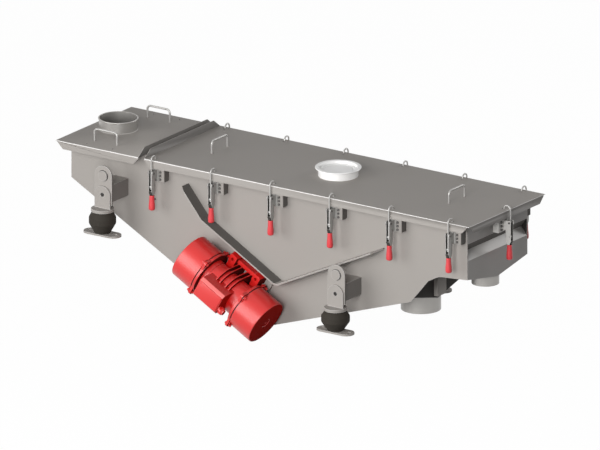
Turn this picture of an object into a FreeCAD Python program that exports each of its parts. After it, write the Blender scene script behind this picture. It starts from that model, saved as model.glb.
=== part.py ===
import FreeCAD, Part
import math
import os
from FreeCAD import Vector

os.makedirs("parts", exist_ok=True)

# Enclosed vibrating screen, millimetres.
# X runs from the inlet to the outlet, Y from the front to the back, Z up.
# The origin is the middle of the underside of the front foot plate at the outlet.

# Overall places
support_pitch = 1417.0        # between the inlet supports and the outlet supports, along X
support_spread = 856.5        # between the front supports and the back supports, along Y
inlet_foot_height = 254.5     # the inlet feet stand this much higher than the outlet feet
lid_top = 659.0               # top of the lids
outlet_end = 688.0            # outer face of the outlet end wall

# Body
body_length = 2408.0
body_width = 529.0
side_wall = 5.0
end_wall = 4.0
belly_slope = 28.6            # degrees, lower edge of the side plate from the inlet
belly_depth = 801.0           # lowest point of the side plate below the lid top
inlet_wall_depth = 203.5      # lower end of the inlet edge below the lid top
hopper_corner_x = 342.5       # lower outlet corner of the side plate
hopper_corner_depth = 483.5
cutout_foot_x = 450.0         # where the cut-out between hopper and outlet turns
cutout_foot_depth = 355.0
cutout_top_x = 515.0
cutout_top_depth = 319.5
cutout_radius = 75.0
outlet_wall_depth = 307.5     # lower edge of the outlet end, at the side plates
outlet_vee_drop = 47.5        # how much lower that edge is in the middle

# Pressed groove of the outlet end wall
groove_top_depth = 118.5
groove_apex_depth = 166.5
groove_foot_depth = 207.0
groove_inset = 35.0

# Fines pan and hopper end wall
hopper_end = 327.5
pan_sheet = 4.0
pan_side_depth = 467.0        # pan edge at the hopper end, below the lid top
pan_vee_drop = 66.5
strip_width = 75.0
strip_thickness = 25.0
strip_foot_depth = 513.0

# Deck
deck_inlet_depth = 115.0      # top of the deck frame below the lid top, at the inlet
deck_outlet_depth = 262.0     # the same, at the hopper end wall
deck_frame_depth = 40.0
deck_frame_width = 30.0
deck_cross_bars = 4
mesh_sheet = 2.0

# Spigots
spigot_wall = 3.0
spigot_ligament = 2.0         # floor left between a spigot's bore and the wall beside it
fines_diameter = 202.5
fines_foot_depth = 607.0
overs_diameter = 139.7
overs_foot_depth = 401.5
inlet_from_end = 102.5        # from the inlet end of the body to the inlet's axis
inlet_diameter = 195.0
inlet_rim_diameter = 203.0
inlet_height = 60.0

# Inspection port
port_x = -279.5
port_diameter = 203.0
port_flange_diameter = 233.5
port_flange_thickness = 6.0
port_height = 45.0
port_wall = 5.0
port_cover_recess = 15.0
port_cover_thickness = 6.0
port_cover_clearance = 0.3
port_ledge = 4.0              # thickness of the ledge that carries the cover
port_ledge_width = 9.0

# Lids
lid_width = 667.5
lid_sheet = 3.0
lid_inlet_overhang = 50.0
lid_outlet_overhang = 59.5
lid_flange = 40.0             # height of the down-turned edges
lid_flange_chamfer = 32.0     # slanted ends of those edges
lid_flange_round = 8.0
lid_corner_relief = 14.0      # the down-turned edges end this far from a corner
seam_from_end = 471.5         # from the inlet end of the body to the seam between the two lids
seam_gap = 36.0
seam_flange = 40.0            # height of the upturned edges at the seam
seam_flange_chamfer = 57.0
cross_beam_width = 90.0
cross_beam_height = 40.0
cross_beam_sheet = 4.0

# Lid handles
handle_rod = 10.5
handle_height = 70.0
handle_bend = 20.0
handle_span = 147.0
feed_handle_from_end = 187.5  # from the inlet end of the body
feed_handle_edge = 101.5      # from the lid edge to each handle of the feed lid
main_handle_first_x = -1001.5
main_handle_second_x = 441.0

# Bent rib on each side plate
rib_bar = 8.0
rib_depth = 70.0
rib_bend = 30.0
rib_top_x = -1006.5
rib_top_depth = 105.0
rib_motor_distance = 165.0    # from the motor axis to the long leg, which is parallel to it
rib_knee_along = 331.0        # from the motor's middle up its axis to the upper bend
rib_low_along = 186.0         # from the motor's middle down its axis to the lower bend
rib_end_x = 181.5
rib_end_depth = 227.5
rib_end_taper = 45.0
rib_end_round = 35.0

# Motors
motor_tilt = 30.0             # degrees down towards the outlet
motor_x = -676.0
motor_depth = 565.5           # axis middle below the lid top
motor_length = 547.0
motor_cap_diameter = 243.0
motor_cap_length = 137.5
motor_cap_edge = 5.0          # bevel of the cap's outer edge
motor_cap_rim = 10.0          # thickness of the cap's square rim
motor_cap_rim_side = 206.0
motor_body_diameter = 172.0
motor_collar_diameter = 178.0
motor_collar_place = 97.0     # the collars run from here to the flanges
motor_plate = 15.0            # thickness of the mounting plate
motor_plate_gap = 1.25        # between a cap and the plate
motor_plate_overlap = 14.0    # the plate reaches this far behind each cap
motor_plate_width = 270.0
motor_plate_round = 10.0
motor_flange = 14.0           # thickness of the housing's square end flanges
motor_flange_side = 212.0
motor_ear_round = 14.5
motor_fin_places = (-42.0, -19.0, 19.0, 42.0)
motor_fin_diameter = 212.0
motor_fin = 6.0
motor_foot_pitch = 161.0      # between the foot bosses along the axis
motor_foot_spread = 225.0     # between the foot bosses across the axis
motor_foot_length = 56.0      # at the mounting plate
motor_foot_width = 64.0
motor_foot_face_length = 44.0  # at the face, because the boss tapers
motor_foot_face_width = 46.0
motor_foot_chamfer = 8.0
motor_foot_height = 58.0
motor_foot_hole = 16.0
motor_foot_hole_depth = 34.0
motor_foot_root = 5.0         # the root between a foot and the housing starts this far behind its face
motor_foot_root_inset = 8.0   # the root is this much shorter than the foot at each end
motor_foot_root_rise = 43.0   # the root leaves the housing this far from the motor axis
motor_rail = 22.0             # width of the rail that joins two feet
motor_rail_height = 40.0
terminal_x = -10.0            # middle of the terminal box along the motor
terminal_length = 155.0
terminal_width = 118.0
terminal_reach = 165.0        # its outer face from the motor axis
terminal_chamfer = 9.0
gland_diameter = 30.0
gland_length = 34.0
gland_drop = 29.5             # below the motor axis
gland_inset = 27.5            # from the outer face of the terminal box
cross_tube_diameter = 168.3
cross_tube_wall = 6.0

# Supports
arm_size = 90.0
arm_wall = 5.0
arm_plate = 10.0
arm_plate_front = 6.0         # front face of the plate behind the spring axis
arm_plate_radius = 52.0
arm_plate_reach = 150.0       # below the middle of its round top
arm_rise = 92.0               # arm axis above the top of the rubber spring
arm_plate_rise = 182.0        # middle of the round top above the rubber spring
arm_cap_diameter = 53.0
arm_cap_thickness = 8.0
spring_disc_diameter = 116.0
spring_disc = 15.0
tab_radius = 46.5
tab_thickness = 10.0
tab_rise = 84.0               # middle of the tab's round top above the rubber spring
tab_hole = 22.0
spring_diameter = 104.0
spring_bulge_inlet = 137.0
spring_bulge_outlet = 145.0
spring_height_inlet = 112.5
spring_height_outlet = 105.5
foot_length = 213.0
foot_width = 84.0
foot_plate = 10.0
foot_hole = 18.0
foot_hole_pitch = 160.0

# Latches
latches_per_side = 6
latch_first_x = -1179.5
latch_pitch = 361.0
end_latch_shift = 15.0        # the end latch stands this far behind the middle of the lid
latch_rod = 8.0
latch_rod_gap = 5.0           # between the rod and the lid edge
latch_pivot_depth = 63.0      # lever pivot below the lid top
latch_pivot_rise = 74.0       # lever pivot above the trunnion of the rod
latch_over_centre = 3.0       # the trunnion stands this much inside the pivot
latch_tip_inset = 28.5        # hook tip inside the lid edge
latch_tip_gap = 0.4           # between the hook tip and the lid
latch_hook_height = 24.5      # top of the hook above the lid
latch_rod_tail = 11.0
trunnion_diameter = 13.0
lever_gap = 15.0              # between the cheeks of the lever
lever_cheek = 3.0
lever_front = 6.5             # depth of the cheeks outside the pivot
lever_back = 24.0             # depth of the cheeks inside the pivot
lever_top_round = 6.0
lever_back_start = 15.0       # the back of the channel starts this far below the pivot
lever_fork_length = 98.0      # from the pivot to the foot of the channel
lever_length = 117.0          # from the pivot to the grip
lever_pin = 7.0
pin_clearance = 0.06
lever_neck = 12.0             # depth of the lever at the grip
grip_length = 81.0
grip_small = 25.0
grip_large = 32.5
grip_rounding = 0.6           # rounded end of the grip, as a share of its radius
grip_inset = 8.0              # the grip stands this much inside the pivot
running_gap = 0.5
bracket_sheet = 3.0
bracket_inset = 26.0          # outer face of the bracket inside the lid edge
bracket_top_depth = 50.0
bracket_foot_depth = 113.5
bracket_left = 40.0
bracket_right = 53.5
ear_sheet = 3.0
ear_radius = 9.0
base_sheet = 3.0
base_width = 46.0
base_height = 58.0

# Places that follow from the sizes
front = support_spread / 2 - body_width / 2
back = support_spread / 2 + body_width / 2
middle = support_spread / 2
inlet_end = outlet_end - body_length
lid_front = middle - lid_width / 2
inlet_x = inlet_end + inlet_from_end
feed_handle_x = inlet_end + feed_handle_from_end
seam_x = inlet_end + seam_from_end
lid_inlet = inlet_end - lid_inlet_overhang
lid_outlet = outlet_end + lid_outlet_overhang
body_top = lid_top - lid_sheet
inner_front = front + side_wall
inner_back = back - side_wall
motor_foot_plane = motor_cap_diameter / 2 + motor_plate_gap
motor_axis_offset = motor_foot_plane + motor_plate


def save(name, *solids):
    """Write one node; several solids of one node do not touch."""
    shape = solids[0] if len(solids) == 1 else Part.makeCompound(list(solids))
    shape.exportStep("parts/" + name + ".step")


def box(x0, x1, y0, y1, z0, z1):
    """A block between two corners."""
    return Part.makeBox(x1 - x0, y1 - y0, z1 - z0, Vector(x0, y0, z0))


def rod(start, end, radius):
    """A round bar from one point to another."""
    return Part.makeCylinder(radius, (end - start).Length, start, end - start)


def tube(start, end, radius, wall):
    """A round pipe from one point to another."""
    return rod(start, end, radius).cut(rod(start, end, radius - wall))


def outline(points, radii=None):
    """A closed face through the points, with an arc of the given radius at each rounded corner."""
    radii = radii or {}
    count = len(points)
    arcs = []
    for index, corner in enumerate(points):
        radius = radii.get(index, 0.0)
        if not radius:
            arcs.append((corner, corner, None))
            continue
        before = (points[index - 1] - corner).normalize()
        after = (points[(index + 1) % count] - corner).normalize()
        half = before.getAngle(after) / 2
        reach = radius / math.tan(half)
        bisector = (before + after).normalize()
        centre = corner + bisector * (radius / math.sin(half))
        arcs.append((corner + before * reach, corner + after * reach, centre - bisector * radius))
    edges = []
    for index, (entry, leave, crown) in enumerate(arcs):
        if crown is not None:
            edges.append(Part.Arc(entry, crown, leave).toShape())
        following = arcs[(index + 1) % count][0]
        if (following - leave).Length > 1e-6:
            edges.append(Part.LineSegment(leave, following).toShape())
    return Part.Face(Part.Wire(edges))


def side_view(points, y0, y1, radii=None):
    """A plate drawn in the XZ plane, from y0 to y1."""
    face = outline([Vector(x, y0, z) for x, z in points], radii)
    return face.extrude(Vector(0, y1 - y0, 0))


def end_view(points, x0, x1, radii=None):
    """A plate drawn in the YZ plane, from x0 to x1."""
    face = outline([Vector(x0, y, z) for y, z in points], radii)
    return face.extrude(Vector(x1 - x0, 0, 0))


def plan_view(points, z0, z1, radii=None):
    """A plate drawn in the XY plane, from z0 to z1."""
    face = outline([Vector(x, y, z0) for x, y in points], radii)
    return face.extrude(Vector(0, 0, z1 - z0))


def to_back(shape):
    """The same piece on the other side of the machine."""
    return shape.mirror(Vector(0, middle, 0), Vector(0, 1, 0))


def fuse(first, *others):
    """One solid from several that touch or overlap."""
    return first.multiFuse(list(others)).removeSplitter()


def bent_rod(points, bend, diameter):
    """A round bar along straight runs joined by bends of one radius."""
    pieces = []
    start = points[0]
    for before, corner, after in zip(points, points[1:], points[2:]):
        to_before = (before - corner).normalize()
        to_after = (after - corner).normalize()
        half = to_before.getAngle(to_after) / 2
        reach = bend / math.tan(half)
        centre = corner + (to_before + to_after).normalize() * (bend / math.sin(half))
        entry = corner + to_before * reach
        if (entry - start).Length > 1e-6:
            pieces.append(rod(start, entry, diameter / 2))
        section = Part.Face(Part.Wire(Part.makeCircle(diameter / 2, entry, to_before)))
        pieces.append(section.revolve(centre, to_after.cross(to_before), 180 - math.degrees(2 * half)))
        start = corner + to_after * reach
    if (points[-1] - start).Length > 1e-6:
        pieces.append(rod(start, points[-1], diameter / 2))
    return fuse(*pieces)


def bent_strip(points, thickness):
    """Outline of a strip folded along the points, its thickness on the right of the run."""
    normals = []
    for (x0, z0), (x1, z1) in zip(points, points[1:]):
        run = math.hypot(x1 - x0, z1 - z0)
        normals.append(((z1 - z0) / run, (x0 - x1) / run))
    offset = []
    for index, (x, z) in enumerate(points):
        first = normals[max(index - 1, 0)]
        second = normals[min(index, len(normals) - 1)]
        scale = thickness / (1 + first[0] * second[0] + first[1] * second[1])
        offset.append((x + scale * (first[0] + second[0]), z + scale * (first[1] + second[1])))
    return points + offset[::-1]


def vee(side_z, drop, x0, x1, top):
    """The space above a shallow V across the body, up to a level, from x0 to x1."""
    points = [(inner_front, top), (inner_front, side_z), (middle, side_z - drop),
              (inner_back, side_z), (inner_back, top)]
    return end_view(points, x0, x1)


def vee_sheet(start, end, drop, sheet):
    """A folded sheet with a shallow V section; start and end give x and the lower edge at the sides."""
    x, z = start
    points = [(inner_front, z), (middle, z - drop), (inner_back, z),
              (inner_back, z + sheet), (middle, z - drop + sheet), (inner_front, z + sheet)]
    face = outline([Vector(x, y, height) for y, height in points])
    return face.extrude(Vector(end[0] - x, 0, end[1] - z))


def make_side_plates():
    """The two side plates, with the belly that carries the motors and the cut-out at the outlet."""
    apex_x = inlet_end + (belly_depth - inlet_wall_depth) / math.tan(math.radians(belly_slope))
    points = [(inlet_end, body_top),
              (inlet_end, lid_top - inlet_wall_depth),
              (apex_x, lid_top - belly_depth),
              (hopper_corner_x, lid_top - hopper_corner_depth),
              (cutout_foot_x, lid_top - cutout_foot_depth),
              (cutout_top_x, lid_top - cutout_top_depth),
              (outlet_end, lid_top - outlet_wall_depth),
              (outlet_end, body_top)]
    plate = side_view(points, front, inner_front, {5: cutout_radius})
    save("side_plate_front", plate)
    save("side_plate_back", to_back(plate))


def make_end_walls():
    """The plain inlet wall and the outlet wall with its pressed groove."""
    inlet = vee(pan_z(inlet_end), pan_vee_drop, inlet_end, inlet_end + end_wall, body_top)
    save("inlet_end_wall", inlet)
    lowest = lid_top - outlet_wall_depth - outlet_vee_drop
    outer = [(outlet_end, body_top),
             (outlet_end, lid_top - groove_top_depth),
             (outlet_end - groove_inset, lid_top - groove_apex_depth),
             (outlet_end, lid_top - groove_foot_depth),
             (outlet_end, lowest)]
    inner = [(x - end_wall, z) for x, z in outer]
    sheet = side_view(outer + inner[::-1], inner_front, inner_back)
    shape = vee(lid_top - outlet_wall_depth, outlet_vee_drop,
                outlet_end - groove_inset - 2 * end_wall, outlet_end + end_wall, body_top)
    save("outlet_end_wall", sheet.common(shape))


def pan_z(x):
    """Lower face of the fines pan at the side plates."""
    high = lid_top - inlet_wall_depth
    low = lid_top - pan_side_depth
    return high + (low - high) * (x - inlet_end) / (hopper_end - inlet_end)


def deck_z(x):
    """Top of the deck frame."""
    run = (x - inlet_end) / (hopper_end - inlet_end)
    return lid_top - deck_inlet_depth - run * (deck_outlet_depth - deck_inlet_depth)


def make_floors():
    """The fines pan, the wall that ends its hopper, the overs floor and the two lower spigots."""
    fines_bore = fines_diameter / 2 - spigot_wall
    overs_bore = overs_diameter / 2 - spigot_wall
    fines_x = hopper_end - end_wall - spigot_ligament - fines_bore
    overs_x = outlet_end - end_wall - spigot_ligament - overs_bore
    pan_start = (inlet_end + end_wall, pan_z(inlet_end + end_wall))
    pan_stop = (hopper_end - end_wall, pan_z(hopper_end - end_wall))
    pan = vee_sheet(pan_start, pan_stop, pan_vee_drop, pan_sheet)
    above = vee_sheet(pan_start, (hopper_end, pan_z(hopper_end)), pan_vee_drop, lid_top)
    fines_foot = Vector(fines_x, middle, lid_top - fines_foot_depth)
    fines_head = Vector(fines_x, middle, pan_z(fines_x))
    save("fines_pan", pan.cut(rod(fines_foot, fines_head, fines_bore)))
    save("fines_spigot", tube(fines_foot, fines_head, fines_diameter / 2, spigot_wall).cut(above))

    wall_low = pan_z(hopper_end - end_wall)
    wall = side_view([(hopper_end - end_wall, wall_low - pan_vee_drop),
                      (hopper_end, wall_low - pan_vee_drop),
                      (hopper_end, deck_z(hopper_end) - deck_frame_depth),
                      (hopper_end - end_wall, deck_z(hopper_end - end_wall) - deck_frame_depth)],
                     inner_front, inner_back)
    wall = wall.common(vee(wall_low, pan_vee_drop, hopper_end - end_wall, hopper_end, body_top))
    floor_low = lid_top - outlet_wall_depth
    half = strip_width / 2
    half_rise = outlet_vee_drop * half / (inner_back - middle)
    strip = end_view([(middle - half, lid_top - strip_foot_depth),
                      (middle + half, lid_top - strip_foot_depth),
                      (middle + half, floor_low - outlet_vee_drop + half_rise),
                      (middle, floor_low - outlet_vee_drop),
                      (middle - half, floor_low - outlet_vee_drop + half_rise)],
                     hopper_end, hopper_end + strip_thickness)
    save("hopper_end_wall", fuse(wall, strip))

    floor = vee_sheet((hopper_end, floor_low), (outlet_end - end_wall, floor_low), outlet_vee_drop, end_wall)
    above = vee(floor_low, outlet_vee_drop, hopper_end, outlet_end, lid_top)
    overs_foot = Vector(overs_x, middle, lid_top - overs_foot_depth)
    overs_head = Vector(overs_x, middle, floor_low)
    save("overs_floor", floor.cut(rod(overs_foot, overs_head, overs_bore)))
    save("overs_spigot", tube(overs_foot, overs_head, overs_diameter / 2, spigot_wall).cut(above))


def make_deck():
    """The sloping deck frame with its cross bars, and the screen mesh on it."""
    x0 = inlet_end + end_wall
    x1 = hopper_end

    def band(start, end, y0, y1, low, high):
        return side_view([(start, deck_z(start) + low), (end, deck_z(end) + low),
                          (end, deck_z(end) + high), (start, deck_z(start) + high)], y0, y1)

    rails = [band(x0, x1, inner_front, inner_front + deck_frame_width, -deck_frame_depth, 0),
             band(x0, x1, inner_back - deck_frame_width, inner_back, -deck_frame_depth, 0)]
    gap = (x1 - x0 - deck_frame_width) / (deck_cross_bars + 1)
    for index in range(deck_cross_bars + 2):
        start = x0 + gap * index
        rails.append(band(start, start + deck_frame_width, inner_front, inner_back, -deck_frame_depth, 0))
    save("deck_frame", fuse(*rails))
    save("screen_mesh", band(x0, x1, inner_front, inner_back, 0, mesh_sheet))


def lid_plate(x0, x1, hole_x, hole_radius, ends, corners):
    """A lid with down-turned long edges; ends says at which x an edge turns down and where up."""
    y0 = lid_front
    y1 = lid_front + lid_width
    cut = lid_corner_relief
    top = box(x0, x1, y0, y1, body_top, lid_top)
    slant = lid_flange_chamfer
    low = lid_top - lid_flange
    knee = low + slant
    start = x0 + cut * corners[0]
    stop = x1 - cut * corners[1]
    skirt = side_view([(start, lid_top), (start, knee), (start + slant, low),
                       (stop - slant, low), (stop, knee), (stop, lid_top)],
                      y0, y0 + lid_sheet, {2: lid_flange_round, 3: lid_flange_round})
    pieces = [top, skirt, to_back(skirt)]
    for x, turn in ends:
        face = x if x == x0 else x - lid_sheet
        if turn == "down":
            pieces.append(end_view([(y0 + cut, lid_top), (y0 + cut, knee), (y0 + cut + slant, low),
                                    (y1 - cut - slant, low), (y1 - cut, knee), (y1 - cut, lid_top)],
                                   face, face + lid_sheet, {2: lid_flange_round, 3: lid_flange_round}))
        else:
            high = lid_top + seam_flange
            lean = seam_flange_chamfer
            pieces.append(end_view([(y0, body_top), (y1, body_top), (y1 - lean, high), (y0 + lean, high)],
                                   face, face + lid_sheet, {2: lid_flange_round, 3: lid_flange_round}))
    hole = rod(Vector(hole_x, middle, body_top), Vector(hole_x, middle, lid_top), hole_radius)
    return fuse(*pieces).cut(hole)


def make_lids():
    """The feed lid and the main lid, and the channel under their seam."""
    seam_left = seam_x - seam_gap / 2
    seam_right = seam_x + seam_gap / 2
    save("feed_lid", lid_plate(lid_inlet, seam_left, inlet_x, inlet_diameter / 2 - spigot_wall,
                               [(lid_inlet, "down"), (seam_left, "up")], (1, 0)))
    save("main_lid", lid_plate(seam_right, lid_outlet, port_x, port_diameter / 2 - port_wall,
                               [(seam_right, "up"), (lid_outlet, "down")], (0, 1)))
    x0 = seam_x - cross_beam_width / 2
    x1 = seam_x + cross_beam_width / 2
    low = body_top - cross_beam_height
    beam = box(x0, x1, inner_front, inner_back, low, body_top)
    hollow = box(x0 + cross_beam_sheet, x1 - cross_beam_sheet, inner_front, inner_back,
                 low, body_top - cross_beam_sheet)
    save("lid_cross_beam", beam.cut(hollow))


def make_top_fittings():
    """The inlet spigot with its rolled rim, and the inspection port with its recessed cover."""
    foot = Vector(inlet_x, middle, lid_top)
    radius = inlet_diameter / 2
    bead = (inlet_rim_diameter - inlet_diameter) / 2
    bore = radius - spigot_wall
    profile = [(bore, 0), (radius, 0), (radius, inlet_height - 3 * bead),
               (radius + bead, inlet_height - 2 * bead), (radius + bead, inlet_height - bead),
               (radius, inlet_height), (bore, inlet_height)]
    face = outline([foot + Vector(across, 0, height) for across, height in profile])
    save("inlet_spigot", face.revolve(foot, Vector(0, 0, 1), 360))

    foot = Vector(port_x, middle, lid_top)
    head = Vector(port_x, middle, lid_top + port_height)
    bore = port_diameter / 2 - port_wall
    collar = tube(foot, head, port_diameter / 2, port_wall)
    flange = tube(head - Vector(0, 0, port_flange_thickness), head,
                  port_flange_diameter / 2, port_flange_diameter / 2 - bore)
    cover_top = head - Vector(0, 0, port_cover_recess)
    cover_foot = cover_top - Vector(0, 0, port_cover_thickness)
    ledge = tube(cover_foot - Vector(0, 0, port_ledge), cover_foot, bore, port_ledge_width)
    save("inspection_port", fuse(collar, flange, ledge))
    save("inspection_cover", rod(cover_foot, cover_top, bore - port_cover_clearance))


def handle(centre, along):
    """A bent rod handle standing on the lid, its feet a span apart along a direction."""
    half = along * ((handle_span - handle_rod) / 2)
    rise = Vector(0, 0, handle_height - handle_rod / 2)
    return bent_rod([centre - half, centre - half + rise, centre + half + rise, centre + half],
                    handle_bend, handle_rod)


def make_lid_handles():
    """Two handles along the feed lid and two across the main lid."""
    first = handle(Vector(feed_handle_x, lid_front + feed_handle_edge, lid_top), Vector(1, 0, 0))
    save("feed_lid_handles", first, to_back(first))
    across = [handle(Vector(x, middle, lid_top), Vector(0, 1, 0))
              for x in (main_handle_first_x, main_handle_second_x)]
    save("main_lid_handles", *across)


def beside_motor(along, distance):
    """A place in the XZ plane, measured down the motor axis and at right angles above it."""
    turn = math.radians(motor_tilt)
    x = motor_x + along * math.cos(turn) + distance * math.sin(turn)
    z = lid_top - motor_depth - along * math.sin(turn) + distance * math.cos(turn)
    return x, z


def make_ribs():
    """The bent flat bar that stands off each side plate."""
    line = [(rib_top_x, lid_top - rib_top_depth), beside_motor(-rib_knee_along, rib_motor_distance),
            beside_motor(rib_low_along, rib_motor_distance), (rib_end_x, lid_top - rib_end_depth)]
    lowest = min(z for x, z in line)
    strip = side_view(bent_strip(line, rib_bar), front - rib_depth, front,
                      {1: rib_bend, 2: rib_bend, 5: rib_bend + rib_bar, 6: rib_bend + rib_bar})
    edge = front - rib_depth
    plan = plan_view([(rib_top_x - rib_bar, front), (rib_top_x - rib_bar, edge),
                      (rib_end_x + rib_bar - rib_end_taper, edge), (rib_end_x + rib_bar, front)],
                     lowest - rib_bar * 2, lid_top, {1: rib_end_round})
    bar = strip.common(plan)
    save("side_ribs", bar, to_back(bar))


def place_motor(shape):
    """Turn a piece drawn along the motor axis, feet towards +Y, and bring it to the front side plate."""
    placed = shape.copy()
    placed.rotate(Vector(0, 0, 0), Vector(0, 1, 0), motor_tilt)
    placed.translate(Vector(motor_x, front - motor_axis_offset, lid_top - motor_depth))
    return placed


def square_plate(side, corner, x0, x1):
    """A square plate with rounded corners across the motor axis."""
    half = side / 2
    return end_view([(-half, -half), (half, -half), (half, half), (-half, half)],
                    min(x0, x1), max(x0, x1), {0: corner, 1: corner, 2: corner, 3: corner})


def motor_foot(x, z):
    """One tapered foot boss with cut corners, the root that joins it to the housing, and its bolt hole."""
    face = motor_foot_plane - motor_foot_height
    wires = []
    for y, length, width in ((face, motor_foot_face_length, motor_foot_face_width),
                             (motor_foot_plane, motor_foot_length, motor_foot_width)):
        long = length / 2
        wide = width / 2
        cut = motor_foot_chamfer
        points = [(-long, cut - wide), (cut - long, -wide), (long - cut, -wide), (long, cut - wide),
                  (long, wide - cut), (long - cut, wide), (cut - long, wide), (-long, wide - cut)]
        wires.append(outline([Vector(x + a, y, z + b) for a, b in points]).OuterWire)
    boss = Part.makeLoft(wires, True, True)
    rise = math.copysign(motor_foot_root_rise, z)
    front_y = face + motor_foot_root
    half = motor_foot_length / 2 - motor_foot_root_inset
    root = end_view([(0, 0), (front_y, rise), (front_y, z), (motor_foot_plane, z), (motor_foot_plane, rise)],
                    x - half, x + half)
    hole = rod(Vector(x, face, z), Vector(x, face + motor_foot_hole_depth, z), motor_foot_hole / 2)
    return fuse(boss, root), hole


def motor_housing():
    """The middle housing with its fins, collars, square flanges and feet, drawn about the motor axis."""
    half = motor_length / 2 - motor_cap_length
    pieces = [rod(Vector(-half, 0, 0), Vector(half, 0, 0), motor_body_diameter / 2)]
    for end in (-1, 1):
        pieces.append(rod(Vector(end * motor_collar_place, 0, 0), Vector(end * half, 0, 0),
                          motor_collar_diameter / 2))
        inner = end * (half - motor_flange)
        pieces.append(square_plate(motor_flange_side, motor_ear_round, inner, end * half))
    crest = motor_fin_diameter / 2
    for place in motor_fin_places:
        start = place - motor_fin / 2
        stop = place + motor_fin / 2
        pieces.append(rod(Vector(start, 0, 0), Vector(stop, 0, 0), crest))
        web = [(0, -crest), (motor_foot_plane, -crest), (motor_foot_plane, crest), (0, crest)]
        pieces.append(end_view(web, start, stop))
    holes = []
    x = motor_foot_pitch / 2
    for side in (-1, 1):
        z = side * motor_foot_spread / 2
        pieces.append(box(-x, x, motor_foot_plane - motor_rail_height, motor_foot_plane,
                          z - motor_rail / 2, z + motor_rail / 2))
        for end in (-1, 1):
            boss, hole = motor_foot(end * x, z)
            pieces.append(boss)
            holes.append(hole)
    return fuse(*pieces).cut(Part.makeCompound(holes))


def motor_cap(side):
    """The round cover of the unbalance weights at one end of a motor, with its square rim."""
    inner = side * (motor_length / 2 - motor_cap_length)
    outer = side * motor_length / 2
    radius = motor_cap_diameter / 2
    edge = side * motor_cap_edge
    profile = [Vector(inner, 0, 0), Vector(inner, radius, 0), Vector(outer - edge, radius, 0),
               Vector(outer, radius - motor_cap_edge, 0), Vector(outer, 0, 0)]
    cup = outline(profile).revolve(Vector(0, 0, 0), Vector(1, 0, 0), 360)
    return fuse(cup, square_plate(motor_cap_rim_side, motor_ear_round, inner, inner + side * motor_cap_rim))


def terminal_box(housing):
    """The connection box fitted round the front of the housing, with its cable gland."""
    face = -terminal_reach
    x0 = terminal_x - terminal_length / 2
    x1 = terminal_x + terminal_length / 2
    half = terminal_width / 2
    cut = terminal_chamfer
    section = [(0, -half), (face + cut, -half), (face, cut - half),
               (face, half - cut), (face + cut, half), (0, half)]
    block = end_view(section, x0, x1)
    foot = Vector(x1, face + gland_inset, -gland_drop)
    gland = rod(foot, foot + Vector(gland_length, 0, 0), gland_diameter / 2)
    return fuse(block.cut(housing), gland)


def make_motors():
    """The two motors with their caps and terminal boxes, the mounting plates and the tube between them."""
    drawn = motor_housing()
    housing = place_motor(drawn)
    caps = [place_motor(motor_cap(side)) for side in (-1, 1)]
    save("motor_housing_front", housing)
    save("motor_housing_back", to_back(housing))
    save("motor_caps_front", *caps)
    save("motor_caps_back", *[to_back(cap) for cap in caps])
    terminal = place_motor(terminal_box(drawn))
    save("terminal_boxes", terminal, to_back(terminal))
    x = motor_length / 2 - motor_cap_length + motor_plate_overlap
    z = motor_plate_width / 2
    corners = [(-x, -z), (x, -z), (x, z), (-x, z)]
    plate = side_view(corners, motor_foot_plane, motor_axis_offset, dict.fromkeys(range(4), motor_plate_round))
    plate = place_motor(plate)
    save("motor_plates", plate, to_back(plate))
    axis_z = lid_top - motor_depth
    save("cross_tube", tube(Vector(motor_x, inner_front, axis_z), Vector(motor_x, inner_back, axis_z),
                            cross_tube_diameter / 2, cross_tube_wall))


def rubber_spring(foot, height, bulge):
    """A barrel of rubber, widest at half its height."""
    end = Vector(spring_diameter / 2, 0, 0)
    head = foot + Vector(0, 0, height)
    barrel = Part.BezierCurve()
    barrel.setPoles([foot + end, foot + Vector(bulge, 0, height / 2) - end, head + end])
    edges = [Part.LineSegment(foot, foot + end).toShape(), barrel.toShape(),
             Part.LineSegment(head + end, head).toShape(), Part.LineSegment(head, foot).toShape()]
    return Part.Face(Part.Wire(edges)).revolve(foot, Vector(0, 0, 1), 360)


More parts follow.
